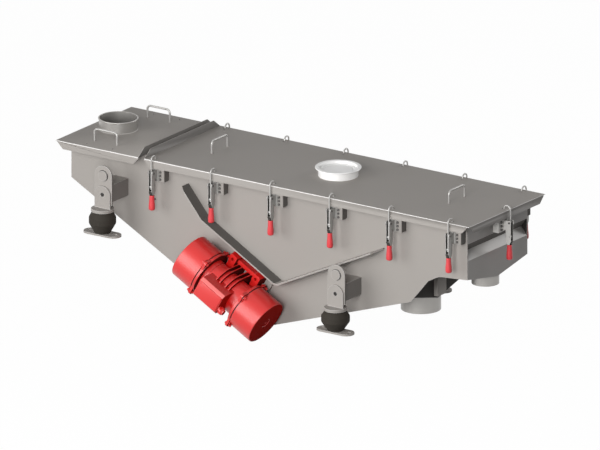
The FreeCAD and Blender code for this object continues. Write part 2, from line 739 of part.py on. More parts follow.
def make_supports():
    """Four supports: arm with round-topped plate, disc with tab, rubber spring and foot plate."""
    arms = []
    tops = []
    springs = []
    feet = []
    stations = [(-support_pitch, inlet_foot_height, spring_height_inlet, spring_bulge_inlet),
                (0.0, 0.0, spring_height_outlet, spring_bulge_outlet)]
    for x, foot_z, height, bulge in stations:
        low = foot_z + foot_plate
        seat = low + height
        plate_back = arm_plate_front + arm_plate
        axis = seat + arm_rise
        half = arm_size / 2
        arm = box(x - half, x + half, plate_back, front, axis - half, axis + half)
        inner = half - arm_wall
        arm = arm.cut(box(x - inner, x + inner, plate_back, front, axis - inner, axis + inner))
        crown = seat + arm_plate_rise
        radius = arm_plate_radius
        plate = side_view([(x - radius, crown - arm_plate_reach), (x + radius, crown - arm_plate_reach),
                           (x + radius, crown + radius), (x - radius, crown + radius)],
                          arm_plate_front, plate_back, {2: radius, 3: radius})
        cap = rod(Vector(x, arm_plate_front - arm_cap_thickness, crown), Vector(x, arm_plate_front, crown),
                  arm_cap_diameter / 2)
        arms.append(fuse(arm, plate, cap))

        disc = rod(Vector(x, 0, seat), Vector(x, 0, seat + spring_disc), spring_disc_diameter / 2)
        tab_y = arm_plate_front - tab_thickness
        tab = side_view([(x - tab_radius, seat + spring_disc), (x + tab_radius, seat + spring_disc),
                         (x + tab_radius, seat + tab_rise + tab_radius),
                         (x - tab_radius, seat + tab_rise + tab_radius)],
                        tab_y, arm_plate_front, {2: tab_radius, 3: tab_radius})
        hole_z = seat + tab_rise
        hole = rod(Vector(x, tab_y, hole_z), Vector(x, arm_plate_front, hole_z), tab_hole / 2)
        tops.append(fuse(disc, tab.cut(hole)))

        springs.append(rubber_spring(Vector(x, 0, low), height, bulge))

        long = foot_length / 2
        wide = foot_width / 2
        foot = plan_view([(x - long, -wide), (x + long, -wide), (x + long, wide), (x - long, wide)],
                         foot_z, low, {0: wide, 1: wide, 2: wide, 3: wide})
        for side in (-1, 1):
            centre = x + side * foot_hole_pitch / 2
            foot = foot.cut(rod(Vector(centre, 0, foot_z), Vector(centre, 0, low), foot_hole / 2))
        feet.append(foot)
    for name, pieces in (("support_arms", arms), ("spring_tops", tops),
                         ("rubber_springs", springs), ("foot_plates", feet)):
        save(name, *pieces, *[to_back(piece) for piece in pieces])


def latch_bracket(overhang):
    """Folded bracket of a latch, drawn at the lid edge with the machine towards +Y."""
    face = bracket_inset
    sheet = bracket_sheet
    plan = [(-bracket_left, overhang), (-bracket_left, face),
            (bracket_right, face), (bracket_right, overhang),
            (bracket_right - sheet, overhang), (bracket_right - sheet, face + sheet),
            (-bracket_left + sheet, face + sheet), (-bracket_left + sheet, overhang)]
    bends = {1: 2 * sheet, 2: 2 * sheet, 5: sheet, 6: sheet}
    return plan_view(plan, -bracket_foot_depth, -bracket_top_depth, bends)


def latch_base():
    """Base plate on the bracket with two ears; a stub pin in each ear carries the lever."""
    axis_y = -latch_rod_gap - latch_rod / 2 - latch_over_centre
    axis_z = -latch_pivot_depth
    back_face = bracket_inset
    front_face = back_face - base_sheet
    middle_z = -(bracket_top_depth + bracket_foot_depth) / 2
    plate = box(-base_width / 2, base_width / 2, front_face, back_face,
                middle_z - base_height / 2, middle_z + base_height / 2)
    pieces = [plate]
    inner = lever_gap / 2 + lever_cheek + running_gap
    nose = ear_radius
    for side in (-1, 1):
        x0 = side * inner if side > 0 else -inner - ear_sheet
        ear = end_view([(front_face, middle_z + base_height / 2), (front_face, middle_z - base_height / 2),
                        (axis_y - nose, axis_z - nose), (axis_y - nose, axis_z + nose),
                        ], x0, x0 + ear_sheet, {2: nose, 3: nose})
        stub = rod(Vector(side * lever_gap / 2, axis_y, axis_z),
                   Vector(side * (inner + ear_sheet + 2), axis_y, axis_z), lever_pin / 2)
        pieces.extend([ear, stub])
    return fuse(*pieces)


def latch_lever():
    """Lever folded to a channel that opens outwards, with its round grip, hanging from the stub pins."""
    axis_y = -latch_rod_gap - latch_rod / 2 - latch_over_centre
    axis_z = -latch_pivot_depth
    trunnion_y = axis_y + latch_over_centre
    front_y = axis_y - lever_front
    back_y = axis_y + lever_back
    top_z = axis_z + lever_front + lever_pin / 2
    knee_z = axis_z - lever_fork_length
    grip_y = axis_y + grip_inset
    foot_z = axis_z - lever_length
    outer = [(back_y, top_z), (back_y, knee_z), (grip_y + lever_neck / 2, foot_z),
             (grip_y - lever_neck / 2, foot_z), (front_y, knee_z), (front_y, top_z)]
    width = lever_gap / 2 + lever_cheek
    fork = end_view(outer, -width, width, {0: lever_top_round, 5: lever_top_round})
    channel = box(-lever_gap / 2, lever_gap / 2, front_y, back_y - lever_cheek, knee_z, top_z)
    head = box(-lever_gap / 2, lever_gap / 2, front_y, back_y, axis_z - lever_back_start, top_z)
    fork = fork.cut(fuse(channel, head))
    reach = Vector(width + 1, 0, 0)
    for y, z in ((axis_y, axis_z), (trunnion_y, axis_z - latch_pivot_rise)):
        centre = Vector(0, y, z)
        fork = fork.cut(rod(centre - reach, centre + reach, lever_pin / 2 + pin_clearance))
    small = grip_small / 2
    large = grip_large / 2
    low = foot_z - grip_length
    edge = large * grip_rounding
    profile = [Vector(0, 0, foot_z), Vector(small, 0, foot_z), Vector(large, 0, low + large),
               Vector(large, 0, low + edge), Vector(large - edge / 3, 0, low + edge / 3),
               Vector(large - edge, 0, low), Vector(0, 0, low)]
    grip = outline(profile).revolve(Vector(0, 0, 0), Vector(0, 0, 1), 360)
    grip.translate(Vector(0, grip_y, 0))
    return fuse(fork, grip)


def latch_hook():
    """J-shaped rod over the lid edge, with the trunnion that swings in the lever."""
    rod_y = -latch_rod_gap - latch_rod / 2
    trunnion_z = -latch_pivot_depth - latch_pivot_rise
    crown = latch_hook_height - latch_rod / 2
    bend = (latch_tip_inset - rod_y) / 2
    hook = bent_rod([Vector(0, rod_y, trunnion_z - latch_rod_tail), Vector(0, rod_y, crown),
                     Vector(0, latch_tip_inset, crown), Vector(0, latch_tip_inset, latch_tip_gap)],
                    bend, latch_rod)
    barrel = Vector(lever_gap / 2 - running_gap, 0, 0)
    pin = Vector(lever_gap / 2 + lever_cheek + 1, 0, 0)
    centre = Vector(0, rod_y, trunnion_z)
    return fuse(hook, rod(centre - barrel, centre + barrel, trunnion_diameter / 2),
                rod(centre - pin, centre + pin, lever_pin / 2))


def make_latches():
    """Six latches along each side and one near the middle of the outlet end."""
    side_overhang = front - lid_front
    kinds = {"bracket": latch_bracket(side_overhang), "base": latch_base(),
             "lever": latch_lever(), "hook": latch_hook()}
    brackets = []
    bases = []

    def keep(label, pieces):
        brackets.append(pieces["bracket"])
        bases.append(pieces["base"])
        save("latch_lever_" + label, pieces["lever"])
        save("latch_hook_" + label, pieces["hook"])

    for number in range(latches_per_side):
        move = Vector(latch_first_x + latch_pitch * number, lid_front, lid_top)
        placed = {kind: shape.translated(move) for kind, shape in kinds.items()}
        keep("front_" + str(number + 1), placed)
        keep("back_" + str(number + 1), {kind: to_back(shape) for kind, shape in placed.items()})

    kinds["bracket"] = latch_bracket(lid_outlet_overhang)
    placed = {}
    for kind, shape in kinds.items():
        turned = shape.mirror(Vector(0, 0, 0), Vector(1, 0, 0))
        turned.rotate(Vector(0, 0, 0), Vector(0, 0, 1), 90)
        placed[kind] = turned.translated(Vector(lid_outlet, middle + end_latch_shift, lid_top))
    keep("end", placed)
    save("latch_brackets", *brackets)
    save("latch_bases", *bases)


make_side_plates()
make_end_walls()
make_floors()
make_deck()
make_lids()
make_top_fittings()
make_lid_handles()
make_ribs()
make_motors()
make_supports()
make_latches()
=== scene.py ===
"""The looks of an enclosed vibrating screen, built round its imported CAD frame."""
import logging
import math
from collections.abc import Callable
from dataclasses import dataclass, field
from enum import Enum

import bmesh
import bpy
from mathutils import Matrix, Vector


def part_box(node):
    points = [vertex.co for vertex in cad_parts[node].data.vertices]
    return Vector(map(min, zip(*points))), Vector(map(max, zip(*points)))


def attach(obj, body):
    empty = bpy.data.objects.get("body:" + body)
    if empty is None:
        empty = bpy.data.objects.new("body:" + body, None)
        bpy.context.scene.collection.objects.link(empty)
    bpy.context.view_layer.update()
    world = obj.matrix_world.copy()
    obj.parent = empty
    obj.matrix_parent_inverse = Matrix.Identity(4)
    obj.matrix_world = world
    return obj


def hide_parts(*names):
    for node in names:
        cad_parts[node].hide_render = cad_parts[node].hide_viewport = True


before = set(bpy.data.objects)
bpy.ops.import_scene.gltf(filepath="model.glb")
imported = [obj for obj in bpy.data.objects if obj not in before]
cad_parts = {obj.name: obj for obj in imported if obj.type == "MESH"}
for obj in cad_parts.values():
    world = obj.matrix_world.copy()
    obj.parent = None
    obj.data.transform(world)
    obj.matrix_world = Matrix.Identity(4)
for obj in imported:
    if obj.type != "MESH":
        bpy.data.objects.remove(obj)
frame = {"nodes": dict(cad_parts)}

log = logging.getLogger("vibrating_screen")
ROOT = "frame"
MM = 0.001
SKIN_BEVEL = math.radians(28)
PART_BEVEL = math.radians(30)
TURNED_SMOOTH = math.radians(28)
SKIN_SMOOTH = math.radians(32)
PART_SMOOTH = math.radians(35)
BAR_SMOOTH = math.radians(40)
ROUGH_SPREAD = 0.06
BUMP_STRENGTH = 0.6
# Sockets of a Mix node of colours, which have no names of their own.
FACTOR, COLOUR_A, COLOUR_B, MIXED = 0, 6, 7, 2


class Axis(Enum):
    """A direction in the machine's frame: X towards the outlet, Y towards the back, Z up."""

    OUTLET = Vector((1, 0, 0))
    BACK = Vector((0, 1, 0))
    FRONT = Vector((0, -1, 0))
    UP = Vector((0, 0, 1))
    DOWN = Vector((0, 0, -1))


def span(node: str) -> tuple[Vector, Vector]:
    """Lowest and highest corner of a CAD node in millimetres."""
    low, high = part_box(node)
    return low / MM, high / MM


def halves(node: str, axis: int) -> list[tuple[Vector, Vector]]:
    """The boxes of what a CAD node has on either side of its middle, in millimetres.

    Args:
        node: Name of the CAD node.
        axis: 0 to part it along X, 1 along Y.

    Returns:
        Lowest and highest corner of the first half, then of the second.
    """
    low, high = span(node)
    middle = (low[axis] + high[axis]) / 2
    points = [vertex.co / MM for vertex in frame["nodes"][node].data.vertices]
    boxes = []
    for side in (-1, 1):
        part = [point for point in points if (point[axis] - middle) * side > 0]
        boxes.append((Vector([min(point[i] for point in part) for i in range(3)]),
                      Vector([max(point[i] for point in part) for i in range(3)])))
    return boxes


def shift(x: float, y: float, z: float) -> Matrix:
    """A move given in millimetres."""
    return Matrix.Translation(Vector((x, y, z)) * MM)


def under(low: Vector, high: Vector) -> Matrix:
    """The move to the middle of a box's underside."""
    return shift((low.x + high.x) / 2, (low.y + high.y) / 2, low.z)


def aim(direction: Vector) -> Matrix:
    """The turn that brings the Z axis to a direction."""
    return direction.to_track_quat("Z", "Y").to_matrix().to_4x4()


def axes_to(x: Vector, y: Vector, z: Vector) -> Matrix:
    """The turn that brings X, Y and Z to three directions."""
    return Matrix((x, y, z)).transposed().to_4x4()


def placed(name: str, data: bpy.types.ID) -> bpy.types.Object:
    """Put a mesh, curve, lamp or camera into the scene as an object.

    Args:
        name: Name of the object.
        data: What it shows.

    Returns:
        The new object.
    """
    made = bpy.data.objects.new(name, data)
    bpy.context.scene.collection.objects.link(made)
    return made


def deselect() -> None:
    """Leave nothing selected, so that an operator acts only on what is chosen next."""
    for shown in bpy.context.selected_objects:
        shown.select_set(False)


def choose(piece: bpy.types.Object) -> None:
    """Select one object and make it the active one.

    Args:
        piece: The object.
    """
    deselect()
    piece.select_set(True)
    bpy.context.view_layer.objects.active = piece


def settle(piece: bpy.types.Object) -> bpy.types.Object:
    """Put an object's place into its mesh, so that the object sits at the origin.

    Args:
        piece: The mesh object.

    Returns:
        The same object.
    """
    piece.data.transform(piece.matrix_world)
    piece.matrix_world = Matrix.Identity(4)
    return piece


def finish_modifier(piece: bpy.types.Object, kind: str, **values: object) -> None:
    """Add a modifier with the given values and apply it.

    Args:
        piece: The mesh object.
        kind: The modifier's type, such as BEVEL.
        values: The modifier's settings.
    """
    modifier = piece.modifiers.new(kind.lower(), kind)
    for key, value in values.items():
        setattr(modifier, key, value)
    choose(piece)
    bpy.ops.object.modifier_apply(modifier=modifier.name)


def shade(piece: bpy.types.Object, angle: float) -> None:
    """Shade a piece smooth, but for edges sharper than an angle."""
    choose(piece)
    bpy.ops.object.shade_smooth_by_angle(angle=angle)


def soften(piece: bpy.types.Object, width: float, segments: int = 2) -> None:
    """Round the sharp edges and shade the piece smooth between them.

    Args:
        piece: The mesh object.
        width: Width of the rounding in millimetres.
        segments: Faces across the rounding.
    """
    finish_modifier(piece, "BEVEL", width=width * MM, segments=segments, limit_method="ANGLE",
                    angle_limit=PART_BEVEL, use_clamp_overlap=True, miter_outer="MITER_ARC")
    shade(piece, PART_SMOOTH)


def close(piece: bpy.types.Object) -> None:
    """Merge a piece's doubles and point its faces outwards.

    Args:
        piece: The mesh object.
    """
    choose(piece)
    bpy.ops.object.mode_set(mode="EDIT")
    bpy.ops.mesh.select_all(action="SELECT")
    bpy.ops.mesh.remove_doubles(threshold=1e-6)
    bpy.ops.mesh.normals_make_consistent(inside=False)
    bpy.ops.object.mode_set(mode="OBJECT")


def select_none(kind: str) -> None:
    """Clear the active mesh's own selection.

    Args:
        kind: What is selected next, such as EDGE.
    """
    bpy.ops.object.mode_set(mode="EDIT")
    bpy.ops.mesh.select_mode(type=kind)
    bpy.ops.mesh.select_all(action="DESELECT")
    bpy.ops.object.mode_set(mode="OBJECT")


def bevel_where(piece: bpy.types.Object, wanted: Callable[[Vector, Vector], bool], width: float,
                segments: int, material: int = -1) -> None:
    """Round only those edges of a piece whose two ends pass a test.

    Args:
        piece: The mesh object.
        wanted: Test of an edge by its two ends, in metres.
        width: Width of the rounding in millimetres.
        segments: Faces across the rounding.
        material: Index of the rounding's material, or -1 for that of its neighbours.
    """
    choose(piece)
    select_none("EDGE")
    for edge in piece.data.edges:
        first, last = (piece.data.vertices[index].co for index in edge.vertices)
        edge.select = wanted(first, last)
    bpy.ops.object.mode_set(mode="EDIT")
    bpy.ops.mesh.bevel(offset=width * MM, offset_type="OFFSET", segments=segments, affect="EDGES",
                       material=material)
    bpy.ops.object.mode_set(mode="OBJECT")


def copy_of(node: str, name: str) -> bpy.types.Object:
    """Copy a CAD node's mesh and merge its loose triangles into whole faces.

    Args:
        node: Name of the CAD node.
        name: Name of the new piece.

    Returns:
        The new object.
    """
    mesh = frame["nodes"][node].data.copy()
    mesh.materials.clear()
    piece = placed(name, mesh)
    work = bmesh.new()
    work.from_mesh(mesh)
    bmesh.ops.remove_doubles(work, verts=work.verts, dist=1e-5)
    bmesh.ops.dissolve_limit(work, angle_limit=math.radians(1.0), verts=work.verts, edges=work.edges,
                             delimit={"NORMAL"})
    work.to_mesh(mesh)
    work.free()
    return piece


def join(pieces: list[bpy.types.Object], name: str) -> bpy.types.Object:
    """Join several meshes into one piece with a new name.

    Args:
        pieces: The mesh objects.
        name: Name of the joined piece.

    Returns:
        The joined piece.
    """
    deselect()
    for piece in pieces:
        piece.select_set(True)
    bpy.context.view_layer.objects.active = pieces[0]
    if len(pieces) > 1:
        bpy.ops.object.join()
    whole = bpy.context.view_layer.objects.active
    whole.name = name
    whole.data.name = name
    return settle(whole)


def copies_at(model: bpy.types.Object, places: list[Matrix], name: str,
              keep: bool = False) -> bpy.types.Object:
    """Repeat one modelled thing at several places and join the copies.

    Args:
        model: The finished model.
        places: One matrix for each copy.
        name: Name of the joined piece.
        keep: Whether the model is needed again, and so isn't removed.

    Returns:
        The joined piece.
    """
    copies = []
    for place in places:
        mesh = model.data.copy()
        mesh.transform(place)
        if place.determinant() < 0:
            mesh.flip_normals()
        copies.append(placed(name, mesh))
    if not keep:
        bpy.data.objects.remove(model)
    return join(copies, name)


def block(size: Vector, middle: Vector) -> bpy.types.Object:
    """A rectangular blank round a point, both in millimetres.

    Args:
        size: Its lengths along X, Y and Z.
        middle: The point.

    Returns:
        The modelled blank.
    """
    deselect()
    bpy.ops.mesh.primitive_cube_add(size=1, location=middle * MM)
    blank = bpy.context.active_object
    blank.scale = size * MM
    bpy.context.view_layer.update()
    return settle(blank)


def disc(radius: float, depth: float, sides: int, foot: float = 0.0) -> bpy.types.Object:
    """A round blank along Z, in millimetres.

    Args:
        radius: Its radius.
        depth: Its height.
        sides: Faces around it.
        foot: Height of its underside above the origin.

    Returns:
        The modelled blank.
    """
    deselect()
    bpy.ops.mesh.primitive_cylinder_add(vertices=sides, radius=radius * MM, depth=depth * MM,
                                        location=(0, 0, (foot + depth / 2) * MM))
    return settle(bpy.context.active_object)


def raise_top(head: bpy.types.Object, inset: float, rise: float) -> None:
    """Draw the top face of a bolt's or screw's head in and up, in millimetres.

    Args:
        head: The head, which is the active object.
        inset: How far the face's border moves in.
        rise: How far the face moves up.
    """
    select_none("FACE")
    for face in head.data.polygons:
        face.select = face.normal.z > 0.9
    bpy.ops.object.mode_set(mode="EDIT")
    bpy.ops.mesh.inset(thickness=inset * MM)
    bpy.ops.transform.translate(value=(0, 0, rise * MM))
    bpy.ops.object.mode_set(mode="OBJECT")


def hex_bolt(across: float, head: float, washer: float) -> bpy.types.Object:
    """A hexagon bolt head on its washer, standing on the origin along Z.

    Args:
        across: Width across the flats in millimetres.
        head: Height of the head.
        washer: Outer radius of the washer.

    Returns:
        The modelled bolt.
    """
    thickness = 1.6
    plate = disc(washer, thickness, 20)
    soften(plate, 0.4, 1)
    nut = disc(across / math.sqrt(3), head, 6, thickness)
    raise_top(nut, across * 0.09, head * 0.12)
    soften(nut, 0.5, 1)
    return join([nut, plate], "bolt")


def round_head(radius: float, height: float) -> bpy.types.Object:
    """A domed screw head standing on the origin along Z, in millimetres.

    Args:
        radius: Its radius.
        height: Its height below the dome.

    Returns:
        The modelled head.
    """
    head = disc(radius, height, 16)
    raise_top(head, radius * 0.3, height * 0.35)
    soften(head, height * 0.2, 1)
    return head


def turned(name: str, profile: list[tuple[float, float]], steps: int = 64) -> bpy.types.Object:
    """Turn a closed or open profile about the Z axis.

    Args:
        name: Name of the piece.
        profile: Points (radius, height) in millimetres; a point of radius 0 closes an end.
        steps: Faces around the axis.

    Returns:
        The turned piece, in its own frame about Z.
    """
    mesh = bpy.data.meshes.new(name)
    points = [(radius * MM, 0, height * MM) for radius, height in profile]
    mesh.from_pydata(points, [(i, i + 1) for i in range(len(points) - 1)], [])
    piece = placed(name, mesh)
    choose(piece)
    bpy.ops.object.mode_set(mode="EDIT")
    bpy.ops.mesh.select_mode(type="VERT")
    bpy.ops.mesh.select_all(action="SELECT")
    bpy.ops.mesh.spin(steps=steps, angle=2 * math.pi, center=(0, 0, 0), axis=Axis.UP.value)
    bpy.ops.object.mode_set(mode="OBJECT")
    close(piece)
    shade(piece, TURNED_SMOOTH)
    return piece


def rounded(points: list[tuple[float, float]], radii: dict[int, float],
            steps: int = 6) -> list[tuple[float, float]]:
    """Round some corners of a profile with arcs.

    Args:
        points: Corners (radius, height) of the profile.
        radii: Arc radius for the index of each rounded corner.
        steps: Points along each arc.

    Returns:
        The profile with its arcs.
    """
    line: list[tuple[float, float]] = []
    for index, (x, z) in enumerate(points):
        radius = radii.get(index, 0.0)
        if radius <= 0:
            line.append((x, z))
            continue
        corner = Vector((x, z))
        before = (Vector(points[index - 1]) - corner).normalized()
        after = (Vector(points[(index + 1) % len(points)]) - corner).normalized()
        half = before.angle(after) / 2
        reach = radius / math.tan(half)
        centre = corner + (before + after).normalized() * (radius / math.sin(half))
        start = corner + before * reach - centre
        end = corner + after * reach - centre
        turn = start.angle_signed(end)
        for step in range(steps + 1):
            arm = start.copy()
            arm.rotate(Matrix.Rotation(-turn * step / steps, 2))
            line.append((centre.x + arm.x, centre.y + arm.y))
    return line


def bar_along(name: str, points: list[Vector], bend: float, radius: float) -> bpy.types.Object:
    """A round bar in metres through corner points, its bends rounded by one radius.

    Args:
        name: Name of the piece.
        points: Corner points of the bar's axis.
        bend: Radius of the bends in millimetres.
        radius: Radius of the bar in millimetres.

    Returns:
        The bar as a closed mesh.
    """
    path: list[Vector] = [points[0]]
    for before, corner, after in zip(points, points[1:], points[2:]):
        first = (before - corner).normalized()
        second = (after - corner).normalized()
        half = first.angle(second) / 2
        centre = corner + (first + second).normalized() * (bend * MM / math.sin(half))
        start = corner + first * (bend * MM / math.tan(half)) - centre
        turn = math.pi - 2 * half
        axis = first.cross(second).normalized()
        path += [centre + Matrix.Rotation(-turn * step / 8, 3, axis) @ start for step in range(9)]
    path.append(points[-1])
    curve = bpy.data.curves.new(name, "CURVE")
    curve.dimensions = "3D"
    curve.bevel_depth = radius * MM
    curve.bevel_resolution = 4
    curve.use_fill_caps = True
    spline = curve.splines.new("POLY")
    spline.points.add(len(path) - 1)
    for point, place in zip(spline.points, path):
        point.co = (*place, 1)
    wire = placed(name + "_path", curve)
    bpy.context.view_layer.update()
    graph = bpy.context.evaluated_depsgraph_get()
    mesh = bpy.data.meshes.new_from_object(wire.evaluated_get(graph))
    mesh.name = name
    bpy.data.objects.remove(wire)
    piece = placed(name, mesh)
    close(piece)
    shade(piece, BAR_SMOOTH)
    return piece


def feed(tree: bpy.types.NodeTree, node: bpy.types.Node, sockets: dict[str | int, object]) -> None:
    """Give a node's inputs their values, or links to the outputs that feed them.

    Args:
        tree: The tree that holds the node.
        node: The node.
        sockets: Name or index of an input to its value or to the output that feeds it.
    """
    for key, value in sockets.items():
        if isinstance(value, bpy.types.NodeSocket):
            tree.links.new(value, node.inputs[key])
        else:
            node.inputs[key].default_value = value


def new_node(tree: bpy.types.NodeTree, kind: str, sockets: dict[str | int, object],
             **settings: object) -> bpy.types.Node:
    """Add a shader node.

    Args:
        tree: The tree that gets it.
        kind: Its type, without the words ShaderNode.
        sockets: Name or index of an input to its value or to the output that feeds it.
        settings: The node's own settings, such as operation.

    Returns:
        The new node.
    """
    node = tree.nodes.new("ShaderNode" + kind)
    for key, value in settings.items():
        setattr(node, key, value)
    feed(tree, node, sockets)
    return node


def group(name: str, inputs: dict[str, str]) -> tuple[bpy.types.NodeTree, bpy.types.Node, bpy.types.Node]:
    """Start a shader node group that puts out a tone and a height.

    Args:
        name: Name of the group.
        inputs: Socket name to its kind.

    Returns:
        The tree, its input node and its output node.
    """
    tree = bpy.data.node_groups.new(name, "ShaderNodeTree")
    for label, kind in inputs.items():
        tree.interface.new_socket(label, in_out="INPUT", socket_type=kind)
    for label in ("Tone", "Height"):
        tree.interface.new_socket(label, in_out="OUTPUT", socket_type="NodeSocketFloat")
    return tree, tree.nodes.new("NodeGroupInput"), tree.nodes.new("NodeGroupOutput")


def mottle_group() -> bpy.types.NodeTree:
    """Cloudy tone with fine grain, as rolled and painted sheet shows it.

    Returns:
        The node group.
    """
    tree, start, end = group("sheet_mottle", {"Vector": "NodeSocketVector", "Grain Scale": "NodeSocketFloat"})
    spot = start.outputs["Vector"]
    cloud = new_node(tree, "TexNoise", {"Vector": spot, "Scale": 3.0, "Detail": 3.0, "Roughness": 0.45})
    grain = new_node(tree, "TexNoise", {"Vector": spot, "Scale": start.outputs["Grain Scale"], "Detail": 2.0})
    scaled = new_node(tree, "Math", {0: cloud.outputs["Fac"], 1: 0.75}, operation="MULTIPLY")
    blend = new_node(tree, "Math", {0: grain.outputs["Fac"], 1: 0.25, 2: scaled.outputs[0]},
                     operation="MULTIPLY_ADD")
    feed(tree, end, {"Tone": blend.outputs[0], "Height": grain.outputs["Fac"]})
    return tree


def streak_group() -> bpy.types.NodeTree:
    """Fine parallel scratches of brushed metal, drawn out along one axis.

    Returns:
        The node group.
    """
    tree, start, end = group("brush_streaks", {"Vector": "NodeSocketVector", "Scale": "NodeSocketVector"})
    stretch = new_node(tree, "VectorMath", {0: start.outputs["Vector"], 1: start.outputs["Scale"]},
                       operation="MULTIPLY")
    noise = new_node(tree, "TexNoise", {"Vector": stretch.outputs[0], "Scale": 1.0, "Detail": 2.0})
    feed(tree, end, {"Tone": noise.outputs["Fac"], "Height": noise.outputs["Fac"]})
    return tree


@dataclass(frozen=True)
class Finish:
    """One surface finish and how far it varies over the surface."""

    name: str
    colour: tuple[float, float, float]
    roughness: float
    metallic: float = 0.0
    tone_spread: float = 0.08
    grain_scale: float = 400.0
    bump: float = 0.0
    specular: float = 0.5
    streaks: tuple[float, float, float] | None = None

    def material(self, groups: dict[str, bpy.types.NodeTree]) -> bpy.types.Material:
        """Build the material.

        Args:
            groups: The shared node groups by name.

        Returns:
            The procedural material.
        """
        made = bpy.data.materials.new(self.name)
        made.use_nodes = True
        tree = made.node_tree
        spot = new_node(tree, "TexCoord", {}).outputs["Object"]
        if self.streaks is None:
            effect = new_node(tree, "Group", {"Vector": spot, "Grain Scale": self.grain_scale},
                              node_tree=groups["mottle"])
        else:
            effect = new_node(tree, "Group", {"Vector": spot, "Scale": self.streaks},
                              node_tree=groups["streaks"])
        pattern = effect.outputs["Tone"]
        dark = [channel * (1 - self.tone_spread) for channel in self.colour]
        light = [min(1.0, channel * (1 + self.tone_spread)) for channel in self.colour]
        tone = new_node(tree, "Mix", {FACTOR: pattern, COLOUR_A: (*dark, 1), COLOUR_B: (*light, 1)},
                        data_type="RGBA")
        rough = new_node(tree, "MapRange", {"Value": pattern, "To Min": self.roughness - ROUGH_SPREAD,
                                            "To Max": self.roughness + ROUGH_SPREAD})
        shader = tree.nodes["Principled BSDF"]
        feed(tree, shader, {"Base Color": tone.outputs[MIXED], "Metallic": self.metallic,
                            "Roughness": rough.outputs["Result"], "Specular IOR Level": self.specular})
        if self.bump > 0:
            bump = new_node(tree, "Bump", {"Strength": BUMP_STRENGTH, "Distance": self.bump * MM,
                                           "Height": effect.outputs["Height"]})
            feed(tree, shader, {"Normal": bump.outputs["Normal"]})
        return made


